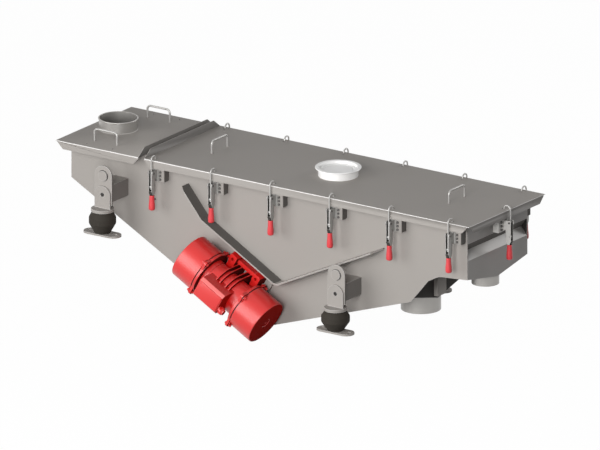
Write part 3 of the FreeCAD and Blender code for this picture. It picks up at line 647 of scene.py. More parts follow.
class Paint(Enum):
    """The finishes of the machine."""

    BODY = Finish("grey_sheet", (0.335, 0.313, 0.292), 0.55, specular=0.22, tone_spread=0.04, bump=0.02)
    # Painted shade: a darker copy of the grey sheet for faces that look towards the outlet.
    SEAM = Finish("outlet_side_painted_shade", (0.185, 0.174, 0.163), 0.50, specular=0.3, tone_spread=0.05, bump=0.02)
    # Painted highlight: a lighter pink copy of the motor red for the terminal boxes' chamfers.
    RED_HIGHLIGHT = Finish("motor_red_painted_highlight", (0.80, 0.16, 0.15), 0.36, specular=0.8, tone_spread=0.05,
                        grain_scale=700.0, bump=0.03)
    # Painted shade: near black motor red for the fin sides and flange faces that look along the motor axis.
    RED_DEEP_SHADE = Finish("motor_red_painted_deep_shade", (0.10, 0.010, 0.008), 0.75, specular=0.02, tone_spread=0.1,
                  grain_scale=700.0, bump=0.05)
    # Painted highlight: a lighter copy of the grey sheet for the upward slope of the outlet wall's groove.
    SHEET_HIGHLIGHT = Finish("sheet_painted_highlight", (0.46, 0.445, 0.425), 0.40, tone_spread=0.04, bump=0.02)
    # Painted shade: a dark copy of the grey sheet for the groove's downward slope, the ribs' upper slopes and
    # the brackets' outlet sides.
    SHEET_SHADE = Finish("sheet_painted_shade", (0.13, 0.122, 0.114), 0.60, specular=0.15, tone_spread=0.06, bump=0.02)
    # Painted light: a lighter copy of the grey sheet for the end latch, which the lamps leave in shade.
    SHEET_LIGHT = Finish("sheet_painted_light", (0.58, 0.565, 0.54), 0.40, tone_spread=0.05, bump=0.02)
    # Painted shade: the outlet end wall's sheet, darker than the grey sheet; it is also glossier.
    END_WALL_SHADE = Finish("end_wall_glossy_painted_shade", (0.270, 0.255, 0.243), 0.40, specular=0.5, tone_spread=0.04, bump=0.02)
    # Painted highlight: a lighter sheet for the rounded edges of the sheets.
    EDGE = Finish("edge_painted_highlight", (0.52, 0.505, 0.49), 0.42, specular=0.4, grain_scale=900.0)
    # Painted highlight: a near white band along the lids' front and back folds.
    CREST_HIGHLIGHT = Finish("lid_crest_painted_highlight", (0.82, 0.80, 0.78), 0.40, specular=0.5, tone_spread=0.03, grain_scale=900.0)
    SPIGOT = Finish("grey_spigot", (0.40, 0.385, 0.365), 0.32, metallic=0.5, specular=0.45, tone_spread=0.05,
                    bump=0.02)
    # Painted shade: a near black copy of the grey sheet for inner faces, floors, the hopper wall and lever
    # channels.
    INSIDE = Finish("grey_sheet_inside_painted_shade", (0.055, 0.052, 0.048), 0.65, specular=0.12, bump=0.03)
    DECK = Finish("deck_steel", (0.42, 0.41, 0.40), 0.38, metallic=0.7, streaks=(6.0, 700.0, 700.0),
                  bump=0.01)
    ROD = Finish("polished_rod", (0.43, 0.42, 0.405), 0.34, metallic=0.35, grain_scale=1200.0)
    ZINC = Finish("zinc_plate", (0.40, 0.392, 0.375), 0.45, metallic=0.3, grain_scale=900.0, tone_spread=0.14)
    SCREW = Finish("dark_screw", (0.13, 0.125, 0.12), 0.45, metallic=0.4, tone_spread=0.10)
    RED = Finish("motor_red", (0.62, 0.010, 0.008), 0.34, specular=0.9, tone_spread=0.05, grain_scale=700.0,
                 bump=0.03)
    # Matte casting finish, its red darkened as painted shade, for the faces that look down the motor axis.
    CAST = Finish("motor_red_cast_painted_shade", (0.38, 0.012, 0.008), 0.70, specular=0.02, tone_spread=0.08,
                  grain_scale=700.0, bump=0.05)
    GRIP = Finish("grip_red", (0.66, 0.045, 0.055), 0.36, specular=0.5, tone_spread=0.04, grain_scale=900.0)
    RUBBER = Finish("spring_rubber", (0.040, 0.035, 0.029), 0.70, specular=0.12, tone_spread=0.15,
                    grain_scale=500.0, bump=0.1)
    WHITE = Finish("white_plastic", (0.91, 0.905, 0.895), 0.25, specular=0.9, tone_spread=0.02,
                   grain_scale=500.0, bump=0.02)
    # Black for gaps and joints, and as painted shade at the bottom of the lifting eyes.
    BLACK = Finish("black_gap_and_painted_shade", (0.018, 0.017, 0.016), 0.6, tone_spread=0.2)
    WIRE = Finish("mesh_wire", (0.50, 0.49, 0.47), 0.32, metallic=0.8)


class Dresser:
    """Gives pieces their finish and body, and remembers the materials it has made."""

    def __init__(self) -> None:
        """Build the node groups that the finishes share."""
        self.groups = {"mottle": mottle_group(), "streaks": streak_group()}
        self.made: dict[str, bpy.types.Material] = {}

    def material(self, paint: Paint) -> bpy.types.Material:
        """The material of a finish, built on its first use.

        Args:
            paint: The finish.

        Returns:
            Its material.
        """
        if paint.name not in self.made:
            self.made[paint.name] = paint.value.material(self.groups)
        return self.made[paint.name]

    def paint(self, piece: bpy.types.Object, paint: Paint) -> None:
        """Give a whole piece one finish."""
        piece.data.materials.clear()
        piece.data.materials.append(self.material(paint))

    def add(self, piece: bpy.types.Object, paint: Paint, slot: str, body: str = ROOT,
            nodes: tuple[str, ...] = ()) -> bpy.types.Object:
        """Finish a piece and hang it on its body.

        Args:
            piece: The modelled piece.
            paint: Its finish.
            slot: The record's material slot; not used.
            body: The body that it rides on.
            nodes: CAD nodes that it stands for.

        Returns:
            The same piece.
        """
        self.paint(piece, paint)
        return self.hang(piece, slot, body, nodes)

    def hang(self, piece: bpy.types.Object, slot: str, body: str, nodes: tuple[str, ...]) -> bpy.types.Object:
        """Hang a painted piece on its body, as add describes it, and report it.

        Args:
            piece: The painted piece.
            slot: The record's material slot; not used.
            body: The body that it rides on.
            nodes: CAD nodes that it stands for.

        Returns:
            The same piece.
        """
        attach(piece, body)
        if nodes:
            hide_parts(*nodes)
        log.info("%s: %d faces", piece.name, len(piece.data.polygons))
        return piece

    def refine(self, node: str, paint: Paint, width: float, slot: str, edge: Paint | None = None,
               first: Callable[[bpy.types.Object], None] | None = None) -> bpy.types.Object:
        """Replace a CAD node of the root body by a copy with rounded edges.

        Args:
            node: Name of the CAD node.
            paint: The finish.
            width: Width of the rounded edges in millimetres.
            slot: The record's material slot; not used.
            edge: Finish of the rounded edges, where it differs; the lighter edge finish is a painted
                highlight.
            first: Work on the copy before its edges are rounded.

        Returns:
            The new piece.
        """
        piece = copy_of(node, node + "_skin")
        self.paint(piece, paint)
        if edge is not None:
            piece.data.materials.append(self.material(edge))
        if first is not None:
            first(piece)
        if width > 0:
            finish_modifier(piece, "BEVEL", width=width * MM, segments=2, limit_method="ANGLE",
                            angle_limit=SKIN_BEVEL, use_clamp_overlap=True,
                            material=1 if edge is not None else -1)
            keep_inside_box(piece, node)
        shade(piece, SKIN_SMOOTH)
        finish_modifier(piece, "WEIGHTED_NORMAL", keep_sharp=True)
        return self.hang(piece, slot, ROOT, (node,))

    def repaint(self, piece: bpy.types.Object, paint: Paint,
                wanted: Callable[[bpy.types.MeshPolygon], bool]) -> bpy.types.Object:
        """Give those faces of a piece another finish that pass a test, and return the piece.

        Args:
            piece: The piece.
            paint: The other finish.
            wanted: Test of a face.

        Returns:
            The same piece.
        """
        piece.data.materials.append(self.material(paint))
        for face in piece.data.polygons:
            if wanted(face):
                face.material_index = len(piece.data.materials) - 1
        return piece


def keep_inside_box(piece: bpy.types.Object, node: str) -> None:
    """Bring back what a rounding has pushed out of the node's own box.

    Args:
        piece: The rounded piece.
        node: Name of the CAD node.
    """
    low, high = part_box(node)
    for vertex in piece.data.vertices:
        for axis in range(3):
            vertex.co[axis] = min(max(vertex.co[axis], low[axis]), high[axis])


@dataclass(frozen=True)
class Frame:
    """Places of the machine in millimetres, read from its CAD frame."""

    lid_front: float
    lid_back: float
    lid_inlet: float
    lid_outlet: float
    lid_top: float
    wall_front: float

    @classmethod
    def read(cls) -> "Frame":
        """Measure the lids and the front side plate.

        Returns:
            The measured places.
        """
        low, high = span("main_lid")
        return cls(lid_front=low.y, lid_back=high.y, lid_inlet=span("feed_lid")[0].x, lid_outlet=high.x,
                   lid_top=span("inlet_spigot")[0].z, wall_front=span("side_plate_front")[0].y)

    @property
    def middle(self) -> float:
        """The Y of the machine's middle plane."""
        return (self.lid_front + self.lid_back) / 2

    def mirror(self) -> Matrix:
        """The mirror image at the middle plane."""
        move = shift(0, self.middle, 0)
        return move @ Matrix.Diagonal((1, -1, 1, 1)) @ move.inverted()

    def both(self) -> list[Matrix]:
        """The front place and its mirror image."""
        return [Matrix.Identity(4), self.mirror()]


@dataclass
class Shell:
    """The body: side plates, end walls, floors, spigots, deck, ribs and plugs."""

    frame: Frame
    dresser: Dresser
    wire_pitch: float = 12.0
    wire: float = 1.8
    weave: float = 1.08
    plug_x: float = -1210.0
    plug_z: float = 433.0
    plug_radius: float = 5.0
    plug_height: float = 1.6
    hopper_sheet: float = 5.0

    def build(self) -> None:
        """Make all pieces of the body."""
        self.sheets()
        self.mesh()
        self.plugs()

    def sheets(self) -> None:
        """Refine the plates and sheets of the body."""
        # Painted highlight: Paint.EDGE gives the rounded edges of these sheets a lighter sheet.
        refine = self.dresser.refine
        for node, inward in (("side_plate_front", 1), ("side_plate_back", -1)):
            plate = refine(node, Paint.BODY, 0.9, "body_paint", Paint.EDGE)
            # Painted shade: the plate's inner face in near black.
            self.dresser.repaint(plate, Paint.INSIDE, lambda face: face.normal.y * inward > 0.99)
        refine("inlet_end_wall", Paint.BODY, 0.8, "body_paint", Paint.EDGE)
        # Painted shade: the outlet end wall in a darker, glossier sheet, with painted light and shade on its
        # groove.
        refine("outlet_end_wall", Paint.END_WALL_SHADE, 0.8, "body_paint", Paint.EDGE, first=self.paint_groove_shading)
        # Painted shade: the pan and floor inside the body in near black.
        for node in ("fines_pan", "overs_floor"):
            refine(node, Paint.INSIDE, 0.6, "body_paint")
        self.hopper_wall()
        for node in ("fines_spigot", "overs_spigot"):
            refine(node, Paint.SPIGOT, 0.8, "body_paint", Paint.EDGE)
        refine("deck_frame", Paint.DECK, 1.5, "deck_steel")
        ribs = refine("side_ribs", Paint.BODY, 1.2, "body_paint", Paint.EDGE)
        # Painted shade: the ribs' upper slopes in a dark sheet.
        self.dresser.repaint(ribs, Paint.SHEET_SHADE, lambda face: face.normal.x > 0.3 and face.normal.z > 0.3)
        refine("lid_cross_beam", Paint.BODY, 0.8, "body_paint")

    def paint_groove_shading(self, wall: bpy.types.Object) -> None:
        """Paint light and shade on the pressed groove: painted shade on the upper slope, a painted highlight
        on the lower one.

        Args:
            wall: The outlet end wall.
        """
        for paint, sign in ((Paint.SHEET_HIGHLIGHT, 1), (Paint.SHEET_SHADE, -1)):
            self.dresser.repaint(wall, paint, lambda face: abs(face.normal.x) > 0.2
                                 and sign * face.normal.z * math.copysign(1, face.normal.x) > 0.2)

    def hopper_wall(self) -> None:
        """Refine the hopper's end wall, with painted shade on the sheet and the plain grey sheet on its
        stiffener strip.
        """
        strip_start = (span("hopper_end_wall")[0].x + self.hopper_sheet) * MM
        wall = self.dresser.refine("hopper_end_wall", Paint.INSIDE, 0.8, "body_paint")
        self.dresser.repaint(wall, Paint.BODY, lambda face: face.center.x > strip_start)

    def mesh(self) -> None:
        """Lay the screen's wires lengthwise and crosswise in the plane of the CAD sheet."""
        low, high = span("screen_mesh")
        start = Vector((low.x, low.y, high.z - self.wire))
        finish = Vector((high.x, low.y, low.z + self.wire / 2))
        run = finish - start
        wires = []
        across = int((high.y - low.y) / self.wire_pitch)
        for index in range(across + 1):
            y = low.y + self.wire + (high.y - low.y - 2 * self.wire) * index / across
            wires.append((Vector((start.x, y, start.z)), Vector((finish.x, y, finish.z))))
        along = int(run.length / self.wire_pitch)
        for index in range(along + 1):
            at = start + run * ((index + 0.5) / (along + 1))
            z = at.z + self.weave
            wires.append((Vector((at.x, low.y, z)), Vector((at.x, high.y, z))))
        places = [Matrix.Translation((first + last) / 2 * MM) @ aim(last - first)
                  @ Matrix.Diagonal((1, 1, (last - first).length, 1)) for first, last in wires]
        model = disc(self.wire / 2, 1.0, 6, foot=-0.5)
        self.dresser.add(copies_at(model, places, "screen_wires"), Paint.WIRE, "mesh", nodes=("screen_mesh",))

    def plugs(self) -> None:
        """Close the small hole in each side plate with a dark plug."""
        plug = round_head(self.plug_radius, self.plug_height)
        place = shift(self.plug_x, self.frame.wall_front, self.plug_z) @ aim(Axis.FRONT.value)
        plugs = copies_at(plug, [side @ place for side in self.frame.both()], "side_plugs")
        self.dresser.add(plugs, Paint.BLACK, "body_paint")


@dataclass
class Lids:
    """The two lids with their handles, screws, inlet spigot and inspection port."""

    frame: Frame
    dresser: Dresser
    handle_rod: float = 10.5
    handle_bend: float = 20.0
    weld: float = 1.2
    screw_radius: float = 3.4
    screw_height: float = 1.8
    feed_screws: tuple[float, ...] = (-1607.0, -1448.5)
    feed_screw_inset: float = 39.0
    bead_radius: float = 4.0
    spigot_wall: float = 3.0
    spigot_weld: float = 2.5
    port_collar: float = 5.0
    port_flange: float = 6.0
    port_ledge: float = 9.0
    ledge_depth: float = 4.0
    cover_gap: float = 0.3
    cover_groove: tuple[float, float] = (14.0, 24.0)
    groove_slope: float = 2.0
    groove_depth: float = 1.5
    crest: float = 4.0
    crest_segments: int = 4

    def build(self) -> None:
        """Make all pieces of the lids."""
        top = (self.frame.lid_top + 0.5) * MM
        for node in ("feed_lid", "main_lid"):
            # Painted highlight: Paint.EDGE lightens the lids' rounded edges and end folds.
            lid = self.dresser.refine(node, Paint.BODY, 1.3, "body_paint", Paint.EDGE, first=self.round_crest)
            # Painted shade: the lid's faces that look towards the outlet, and the seam flanges above its top,
            # in a darker sheet.
            self.dresser.repaint(lid, Paint.SEAM, lambda face: face.normal.x > 0.9
                                 or face.normal.x > 0.3 and face.center.z > top)
        self.handles()
        self.screws()
        self.spigot()
        self.port()

    def round_crest(self, lid: bpy.types.Object) -> None:
        """Round the fold where a lid's top turns down, with a painted highlight on it: near white along the
        sides, lighter grey at the ends.

        Args:
            lid: The lid's mesh object.
        """
        lid.data.materials.append(self.dresser.material(Paint.CREST_HIGHLIGHT))
        last_slot = len(lid.data.materials) - 1
        self.round_fold(lid, 0, (self.frame.lid_inlet, self.frame.lid_outlet), last_slot - 1)
        self.round_fold(lid, 1, (self.frame.lid_front, self.frame.lid_back), last_slot)

    def round_fold(self, lid: bpy.types.Object, axis: int, borders: tuple[float, float],
                   material: int) -> None:
        """Round the fold along two opposite borders of a lid.

        Args:
            lid: The lid's mesh object.
            axis: 0 for borders across X, 1 for borders across Y.
            borders: Places of the two borders in millimetres.
            material: Index of the fold's material.
        """
        near = 0.05

        def on_fold(first: Vector, last: Vector) -> bool:
            """Whether an edge of the lid's top runs along one of the borders.

            Args:
                first: The edge's first end in metres.
                last: Its other end.

            Returns:
                True where it does.
            """
            ends = (first / MM, last / MM)
            level = all(abs(end.z - self.frame.lid_top) < near for end in ends)
            return level and any(all(abs(end[axis] - border) < near for end in ends) for border in borders)

        bevel_where(lid, on_fold, self.crest, self.crest_segments, material)

    def handles(self) -> None:
        """Bend each handle from one bar and weld its feet to the lid."""
        radius = self.handle_rod / 2
        foot_points = []
        for node in ("feed_lid_handles", "main_lid_handles"):
            low, high = span(node)
            bars = []
            for box in halves(node, 0 if high.x - low.x > high.y - low.y else 1):
                feet = self.feet(*box)
                rise = Vector((0, 0, high.z - radius - self.frame.lid_top))
                path = [feet[0], feet[0] + rise, feet[1] + rise, feet[1]]
                bars.append(bar_along("lid_handle", [point * MM for point in path], self.handle_bend, radius))
                foot_points += feet
            self.dresser.add(join(bars, node + "_bars"), Paint.ROD, "bright_rod", nodes=(node,))
        section = [(radius - 1, 0), (radius + self.weld, 0), (radius + self.weld * 0.6, self.weld),
                   (radius - 1, self.weld * 1.6)]
        places = [Matrix.Translation(foot * MM) for foot in foot_points]
        welds = copies_at(turned("handle_weld", section, 24), places, "handle_welds")
        self.dresser.add(welds, Paint.BODY, "body_paint")

    def feet(self, low: Vector, high: Vector) -> list[Vector]:
        """The two foot points of a handle on the lid.

        Args:
            low: Lowest corner of the handle's box.
            high: Its highest corner.

        Returns:
            The two points in millimetres.
        """
        centre = (low + high) / 2
        along = (Axis.OUTLET if high.x - low.x > high.y - low.y else Axis.BACK).value
        half = along * ((high - low).dot(along) / 2 - self.handle_rod / 2)
        return [Vector((point.x, point.y, self.frame.lid_top)) for point in (centre - half, centre + half)]

    def screws(self) -> None:
        """Put the small screws on the feed lid."""
        head = round_head(self.screw_radius, self.screw_height)
        places = [side @ shift(x, self.frame.lid_front + self.feed_screw_inset, self.frame.lid_top)
                  for x in self.feed_screws for side in self.frame.both()]
        screws = copies_at(head, places, "lid_screws")
        self.dresser.add(screws, Paint.SCREW, "bright_rod")

    def spigot(self) -> None:
        """Turn the feed spigot with its rolled rim."""
        low, high = span("inlet_spigot")
        outer = (high.x - low.x) / 2
        bead = self.bead_radius
        wall = outer - bead
        height = high.z - low.z
        centre = height - bead
        inner = wall - self.spigot_wall
        profile = [(inner, 0), (wall + self.spigot_weld, 0), (wall, self.spigot_weld)]
        for step in range(13):
            turn = math.radians(-90 + 15 * step)
            profile.append((wall + bead * math.cos(turn), centre + bead * math.sin(turn)))
        profile += [(inner + 1, height - 0.6), (inner, height - 2), (inner, 0)]
        piece = turned("feed_spigot", profile, 96)
        piece.data.transform(under(low, high))
        self.dresser.add(piece, Paint.SPIGOT, "body_paint", nodes=("inlet_spigot",))

    def port(self) -> None:
        """Turn the white inspection port and its recessed cover."""
        low, high = span("inspection_port")
        cover_low, cover_high = span("inspection_cover")
        rim = (high.x - low.x) / 2
        cover = (cover_high.x - cover_low.x) / 2
        bore = cover + self.cover_gap
        collar = bore + self.port_collar
        height = high.z - low.z
        flange = height - self.port_flange
        ledge = cover_low.z - low.z
        ledge_foot = ledge - self.ledge_depth
        hole = bore - self.port_ledge
        corners = [(bore, 0), (collar, 0), (collar, flange), (rim, flange), (rim, height), (bore, height),
                   (bore, ledge), (hole, ledge), (hole, ledge_foot), (bore, ledge_foot)]
        profile = rounded(corners, {2: 1.5, 3: 2.0, 4: 3.0, 5: 3.0})
        top = cover_high.z - low.z
        outside, inside = (bore - place for place in self.cover_groove)
        bottom, slope = top - self.groove_depth, self.groove_slope
        steps = [(0, ledge), (cover, ledge), (cover, top), (outside, top), (outside - slope, bottom),
                 (inside, bottom), (inside - slope, top), (0, top)]
        for label, section, node in (("inspection_ring", profile + [profile[0]], "inspection_port"),
                                     ("inspection_disc", rounded(steps, {2: 1.0}), "inspection_cover")):
            piece = turned(label, section, 96)
            piece.data.transform(under(low, high))
            self.dresser.add(piece, Paint.WHITE, "white_plastic", nodes=(node,))


@dataclass
class Motors:
    """The two unbalance motors, modelled at the front and mirrored to the back."""

    frame: Frame
    dresser: Dresser
    centre: Vector = field(init=False)
    radius: float = field(init=False)
    length: float = field(init=False)
    along: Vector = field(init=False)
    up: Vector = field(init=False)
    out: Vector = field(init=False)
    tilt: float = 30.0
    cap_length: float = 137.5
    cap_round: float = 5.0
    mark_radius: float = 26.0
    mark_depth: float = 1.2
    mark_centre: float = 4.0
    rim: float = 10.0
    rim_side: float = 206.0
    ear_round: float = 14.5
    flange: float = 14.0
    flange_ring: float = 38.0
    seam: float = 6.0
    seam_depth: float = 5.0
    screw_reach: float = 131.0
    screw_angles: tuple[float, ...] = (45.0, 135.0, 225.0, 315.0)
    nut_radius: float = 7.0
    nut_height: float = 5.0
    terminal_middle: float = -10.0
    terminal_length: float = 155.0
    terminal_width: float = 118.0
    terminal_face: float = 165.0
    terminal_chamfer: float = 9.0
    chamfer_more: float = 5.0
    lid_thickness: float = 4.0
    screw_height: float = 1.6
    dome_height: float = 1.35
    lid_screw_end: float = 14.0
    lid_screw_side: float = 10.0
    gland_offset: float = 8.0
    gland_out: float = 137.5
    gland_up: float = -29.5

    def __post_init__(self) -> None:
        """Find the front motor's middle, radius and length from its two caps."""
        low, high = span("motor_caps_front")
        turn = math.radians(self.tilt)
        self.centre = (low + high) / 2
        self.radius = (high.y - low.y) / 2
        self.length = (high.x - low.x - 2 * self.radius * math.sin(turn)) / math.cos(turn)
        self.along = Vector((math.cos(turn), 0, -math.sin(turn)))
        self.up = Vector((math.sin(turn), 0, math.cos(turn)))
        self.out = Axis.FRONT.value

    def build(self) -> None:
        """Make all pieces of the motors."""
        # Painted shade: the housings' faces that look along the axis, the fin sides and flange ends, in near
        # black red.
        for node in ("motor_housing_front", "motor_housing_back"):
            self.shade_axial_ends(self.dresser.refine(node, Paint.RED, 1.6, "motor_red"), Paint.RED_DEEP_SHADE)
        # Painted shade: the terminal boxes' end faces in a darker, matte red.
        self.shade_axial_ends(self.terminal_body(), Paint.CAST)
        self.dresser.refine("motor_plates", Paint.BODY, 1.5, "body_paint")
        self.dresser.refine("cross_tube", Paint.BODY, 0.5, "body_paint")
        self.caps()
        self.cap_screws()
        self.terminal_lid()

    def at(self, along: float, out: float, up: float, facing: Vector) -> Matrix:
        """A place on the front motor.

        Args:
            along: Distance down the axis from the motor's middle.
            out: Distance away from the machine.
            up: Distance above the axis, at right angles to it.
            facing: Where the modelled thing's Z axis points.

        Returns:
            The matrix of the place.
        """
        point = self.centre + self.along * along + self.out * out + self.up * up
        return Matrix.Translation(point * MM) @ aim(facing)

    def caps(self) -> None:
        """Turn a cap with a rounded edge and a shallow centre mark, and give it its square rim."""
        radius = self.radius
        tall = self.cap_length
        mark = tall - self.mark_depth
        corners = [(0, self.seam), (radius, self.seam), (radius, tall), (self.mark_radius, tall),
                   (self.mark_radius - 2, mark), (self.mark_centre + 1, mark), (self.mark_centre, tall),
                   (0, tall)]
        cup = turned("motor_cap", rounded(corners, {2: self.cap_round}, 8), 128)
        rim = self.square_plate(self.rim_side, self.seam, self.rim)
        soften(rim, 1.2)
        model = join([cup, rim], "motor_cap")
        inner = self.length / 2 - self.cap_length
        pairs = [[side @ self.square_on(end * inner, end) for end in (-1, 1)] for side in self.frame.both()]
        places = pairs[0] + pairs[1]
        gaskets = copies_at(disc(radius - self.seam_depth, self.seam, 96), places, "cap_gaskets")
        self.dresser.add(gaskets, Paint.BLACK, "motor_red")
        bore = radius - self.flange_ring
        section = [(bore, -self.flange), (radius, -self.flange), (radius, 0), (bore, 0)]
        ring = turned("cap_flange", rounded(section, {1: 2.0, 2: 1.0}, 4) + [section[0]], 128)
        rings = self.dresser.add(copies_at(ring, places, "cap_flanges"), Paint.RED, "motor_red")
        # Painted shade: the flange rings' end faces in near black red.
        self.shade_axial_ends(rings, Paint.RED_DEEP_SHADE)
        for label, pair in zip(("front", "back"), pairs):
            caps = copies_at(model, pair, "motor_cap_pair_" + label, keep=True)
            self.dresser.add(caps, Paint.RED, "motor_red", nodes=("motor_caps_" + label,))
            # Painted shade: the caps' end faces in a darker, matte red.
            self.shade_axial_ends(caps, Paint.CAST)
        bpy.data.objects.remove(model)

    def shade_axial_ends(self, piece: bpy.types.Object, paint: Paint) -> bpy.types.Object:
        """Give the faces that look down along the motor axis a darker red as painted shade, matte like the
        raw casting.
        """
        return self.dresser.repaint(piece, paint, lambda face: face.normal.dot(self.along) > 0.95)

    def square_plate(self, side: float, low: float, high: float) -> bpy.types.Object:
        """A square plate with rounded ears that lies across Z.

        Args:
            side: Length of its side in millimetres.
            low: Height of its underside.
            high: Height of its top.

        Returns:
            The modelled plate.
        """
        plate = block(Vector((side, side, high - low)), Vector((0, 0, (low + high) / 2)))
        upright = (high - low) / 2 * MM
        bevel_where(plate, lambda first, last: abs(first.z - last.z) > upright, self.ear_round, 8)
        return plate

    def square_on(self, along: float, end: int) -> Matrix:
        """A place on the front motor's axis, facing out of one end, with its sides along out and up.

        Args:
            along: Distance down the axis from the motor's middle.
            end: 1 for the lower end, -1 for the upper.

        Returns:
            The matrix of the place.
        """
        axis = self.along * end
        spot = (self.centre + self.along * along) * MM
        return Matrix.Translation(spot) @ axes_to(self.out, axis.cross(self.out), axis)

    def cap_screws(self) -> None:
        """Clamp each cap to its flange with a screw and a nut at every ear."""
        depth = self.flange + self.nut_height
        nut = disc(self.nut_radius, depth, 6, foot=-self.rim - depth)
        screw = join([hex_bolt(across=12, head=6, washer=7), nut], "cap_screw")
        joint = self.length / 2 - self.cap_length
        places = []
        for side in self.frame.both():
            for end in (-1, 1):
                for angle in self.screw_angles:
                    turn = math.radians(angle)
                    places.append(side @ self.at(end * (joint + self.rim), self.screw_reach * math.cos(turn),
                                                 self.screw_reach * math.sin(turn), self.along * end))
        screws = copies_at(screw, places, "cap_screws")
        self.dresser.add(screws, Paint.RED, "motor_red")

    def terminal_body(self) -> bpy.types.Object:
        """Lower the outer face of the terminal boxes by the lid and its screws, round their edges and paint a
        highlight on their chamfers.

        Returns:
            The refined piece.
        """
        piece = self.dresser.refine("terminal_boxes", Paint.RED, 0, "motor_red")
        room = (self.lid_thickness + self.screw_height) * MM
        low, high = span("terminal_boxes")
        more = self.chamfer_more * MM
        for vertex in piece.data.vertices:
            inward = 1 if vertex.co.y < (low.y + high.y) / 2 * MM else -1
            depth = vertex.co.y - low.y * MM if inward > 0 else high.y * MM - vertex.co.y
            if depth < 0.1 * MM:
                across = (vertex.co - self.centre * MM).dot(self.up)
                vertex.co -= self.up * math.copysign(more, across)
                vertex.co.y += inward * room
            elif abs(depth - self.terminal_chamfer * MM) < 0.1 * MM:
                vertex.co.y += inward * (more + room)
        soften(piece, 1.6)
        # Painted highlight: the chamfers, which look half out and half up, in a lighter pink red.
        return self.dresser.repaint(piece, Paint.RED_HIGHLIGHT, lambda face: 0.4 < abs(face.normal.y) < 0.9)

    def terminal_lid(self) -> None:
        """Set the terminal box's lid on it, with its screws, and a nut on the cable gland."""
        wide = self.terminal_width - 2 * (self.terminal_chamfer + self.chamfer_more)
        lid = block(Vector((self.terminal_length - 8, wide - 2, self.lid_thickness)), Vector((0, 0, 0)))
        soften(lid, 1.2, 3)
        half_long = self.terminal_length / 2 - self.lid_screw_end
        half_wide = wide / 2 - self.lid_screw_side
        corners = [shift(x * half_long, y * half_wide, self.lid_thickness / 2)
                   for x in (-1, 1) for y in (-1, 1)]
        screws = copies_at(round_head(4.0, self.screw_height / self.dome_height), corners, "terminal_screws")
        lift = self.terminal_face - self.screw_height - self.lid_thickness / 2
        middle = self.centre + self.along * self.terminal_middle + self.out * lift
        box = Matrix.Translation(middle * MM) @ axes_to(self.along, self.up, self.out)
        end = self.terminal_middle + self.terminal_length / 2 + self.gland_offset
        gland = self.at(end, self.gland_out, self.gland_up, self.along)
        nut = hex_bolt(across=38, head=16, washer=21)
        for model, place, name in ((lid, box, "terminal_lids"), (screws, box, "terminal_lid_screws"),
                                   (nut, gland, "gland_nuts")):
            pair = copies_at(model, [side @ place for side in self.frame.both()], name)
            self.dresser.add(pair, Paint.RED, "motor_red")


@dataclass
class Supports:
    """The four supports: arm, spring top, rubber spring and foot plate."""

    frame: Frame
    dresser: Dresser
    spring_radius: float = 52.0
    spring_foot: float = 40.0
    bulge_heights: tuple[float, float] = (0.45, 0.72)
    cap_rise: float = 182.0
    cap_radius: float = 26.6
    cap_seam: float = 2.6
    seam_rise: float = 0.6
    tab_rise: float = 84.0
    eye_radius: float = 10.8
    eye_depth: float = 2.0
    plate_face: float = 6.0

    def build(self) -> None:
        """Make all pieces of the supports."""
        self.eyes()
        self.cap_seams()
        # Painted highlight: Paint.EDGE lightens the rounded edges of arms, spring tops and foot plates.
        arms = self.dresser.refine("support_arms", Paint.BODY, 1.4, "body_paint", Paint.EDGE)
        # Painted shade: the arms' sides that look towards the outlet in a darker sheet.
        self.dresser.repaint(arms, Paint.SEAM, lambda face: face.normal.x > 0.9)
        self.dresser.refine("spring_tops", Paint.BODY, 1.2, "body_paint", Paint.EDGE)
        self.dresser.refine("foot_plates", Paint.BODY, 1.6, "body_paint", Paint.EDGE)
        self.springs()

    def on_arms(self, rise: float) -> list[Matrix]:
        """The places on the faces of the four arms at a height above the rubber, facing outwards."""
        return [side @ shift((low.x + high.x) / 2, self.plate_face, high.z + rise) @ aim(Axis.FRONT.value)
                for low, high in halves("rubber_springs", 0) for side in self.frame.both()]

    def eyes(self) -> None:
        """Paint shade at the bottom of the lifting eye in each tab, as a black disc."""
        eye = disc(self.eye_radius, self.eye_depth, 32)
        eyes = copies_at(eye, self.on_arms(self.tab_rise), "lifting_eye_bottoms")
        self.dresser.add(eyes, Paint.BLACK, "body_paint")

    def cap_seams(self) -> None:
        """Lay the dark joint line round the cap of each arm."""
        inner, outer = self.cap_radius, self.cap_radius + self.cap_seam
        section = [(inner, 0), (outer, 0), (outer, self.seam_rise), (inner, self.seam_rise), (inner, 0)]
        seam = turned("arm_cap_seam", section, 64)
        seams = copies_at(seam, self.on_arms(self.cap_rise), "arm_cap_seams")
        self.dresser.add(seams, Paint.BLACK, "body_paint")

    def springs(self) -> None:
        """Turn each rubber barrel, widest above its middle and tapered to the foot."""
        pieces = []
        for low, high in halves("rubber_springs", 0):
            height = high.z - low.z
            bulge = (high.x - low.x) / 2
            wide_from, wide_to = (share * height for share in self.bulge_heights)
            corners = [(0, 0), (self.spring_foot, 0), (bulge, wide_from), (bulge, wide_to),
                       (self.spring_radius, height), (0, height)]
            model = turned("rubber_barrel", rounded(corners, {1: 3.0, 2: 14.0, 3: 12.0, 4: 3.0}), 72)
            places = [side @ shift((low.x + high.x) / 2, 0, low.z) for side in self.frame.both()]
            pieces.append(copies_at(model, places, "barrels"))
        whole = join(pieces, "rubber_barrels")
        self.dresser.add(whole, Paint.RUBBER, "spring_rubber", nodes=("rubber_springs",))


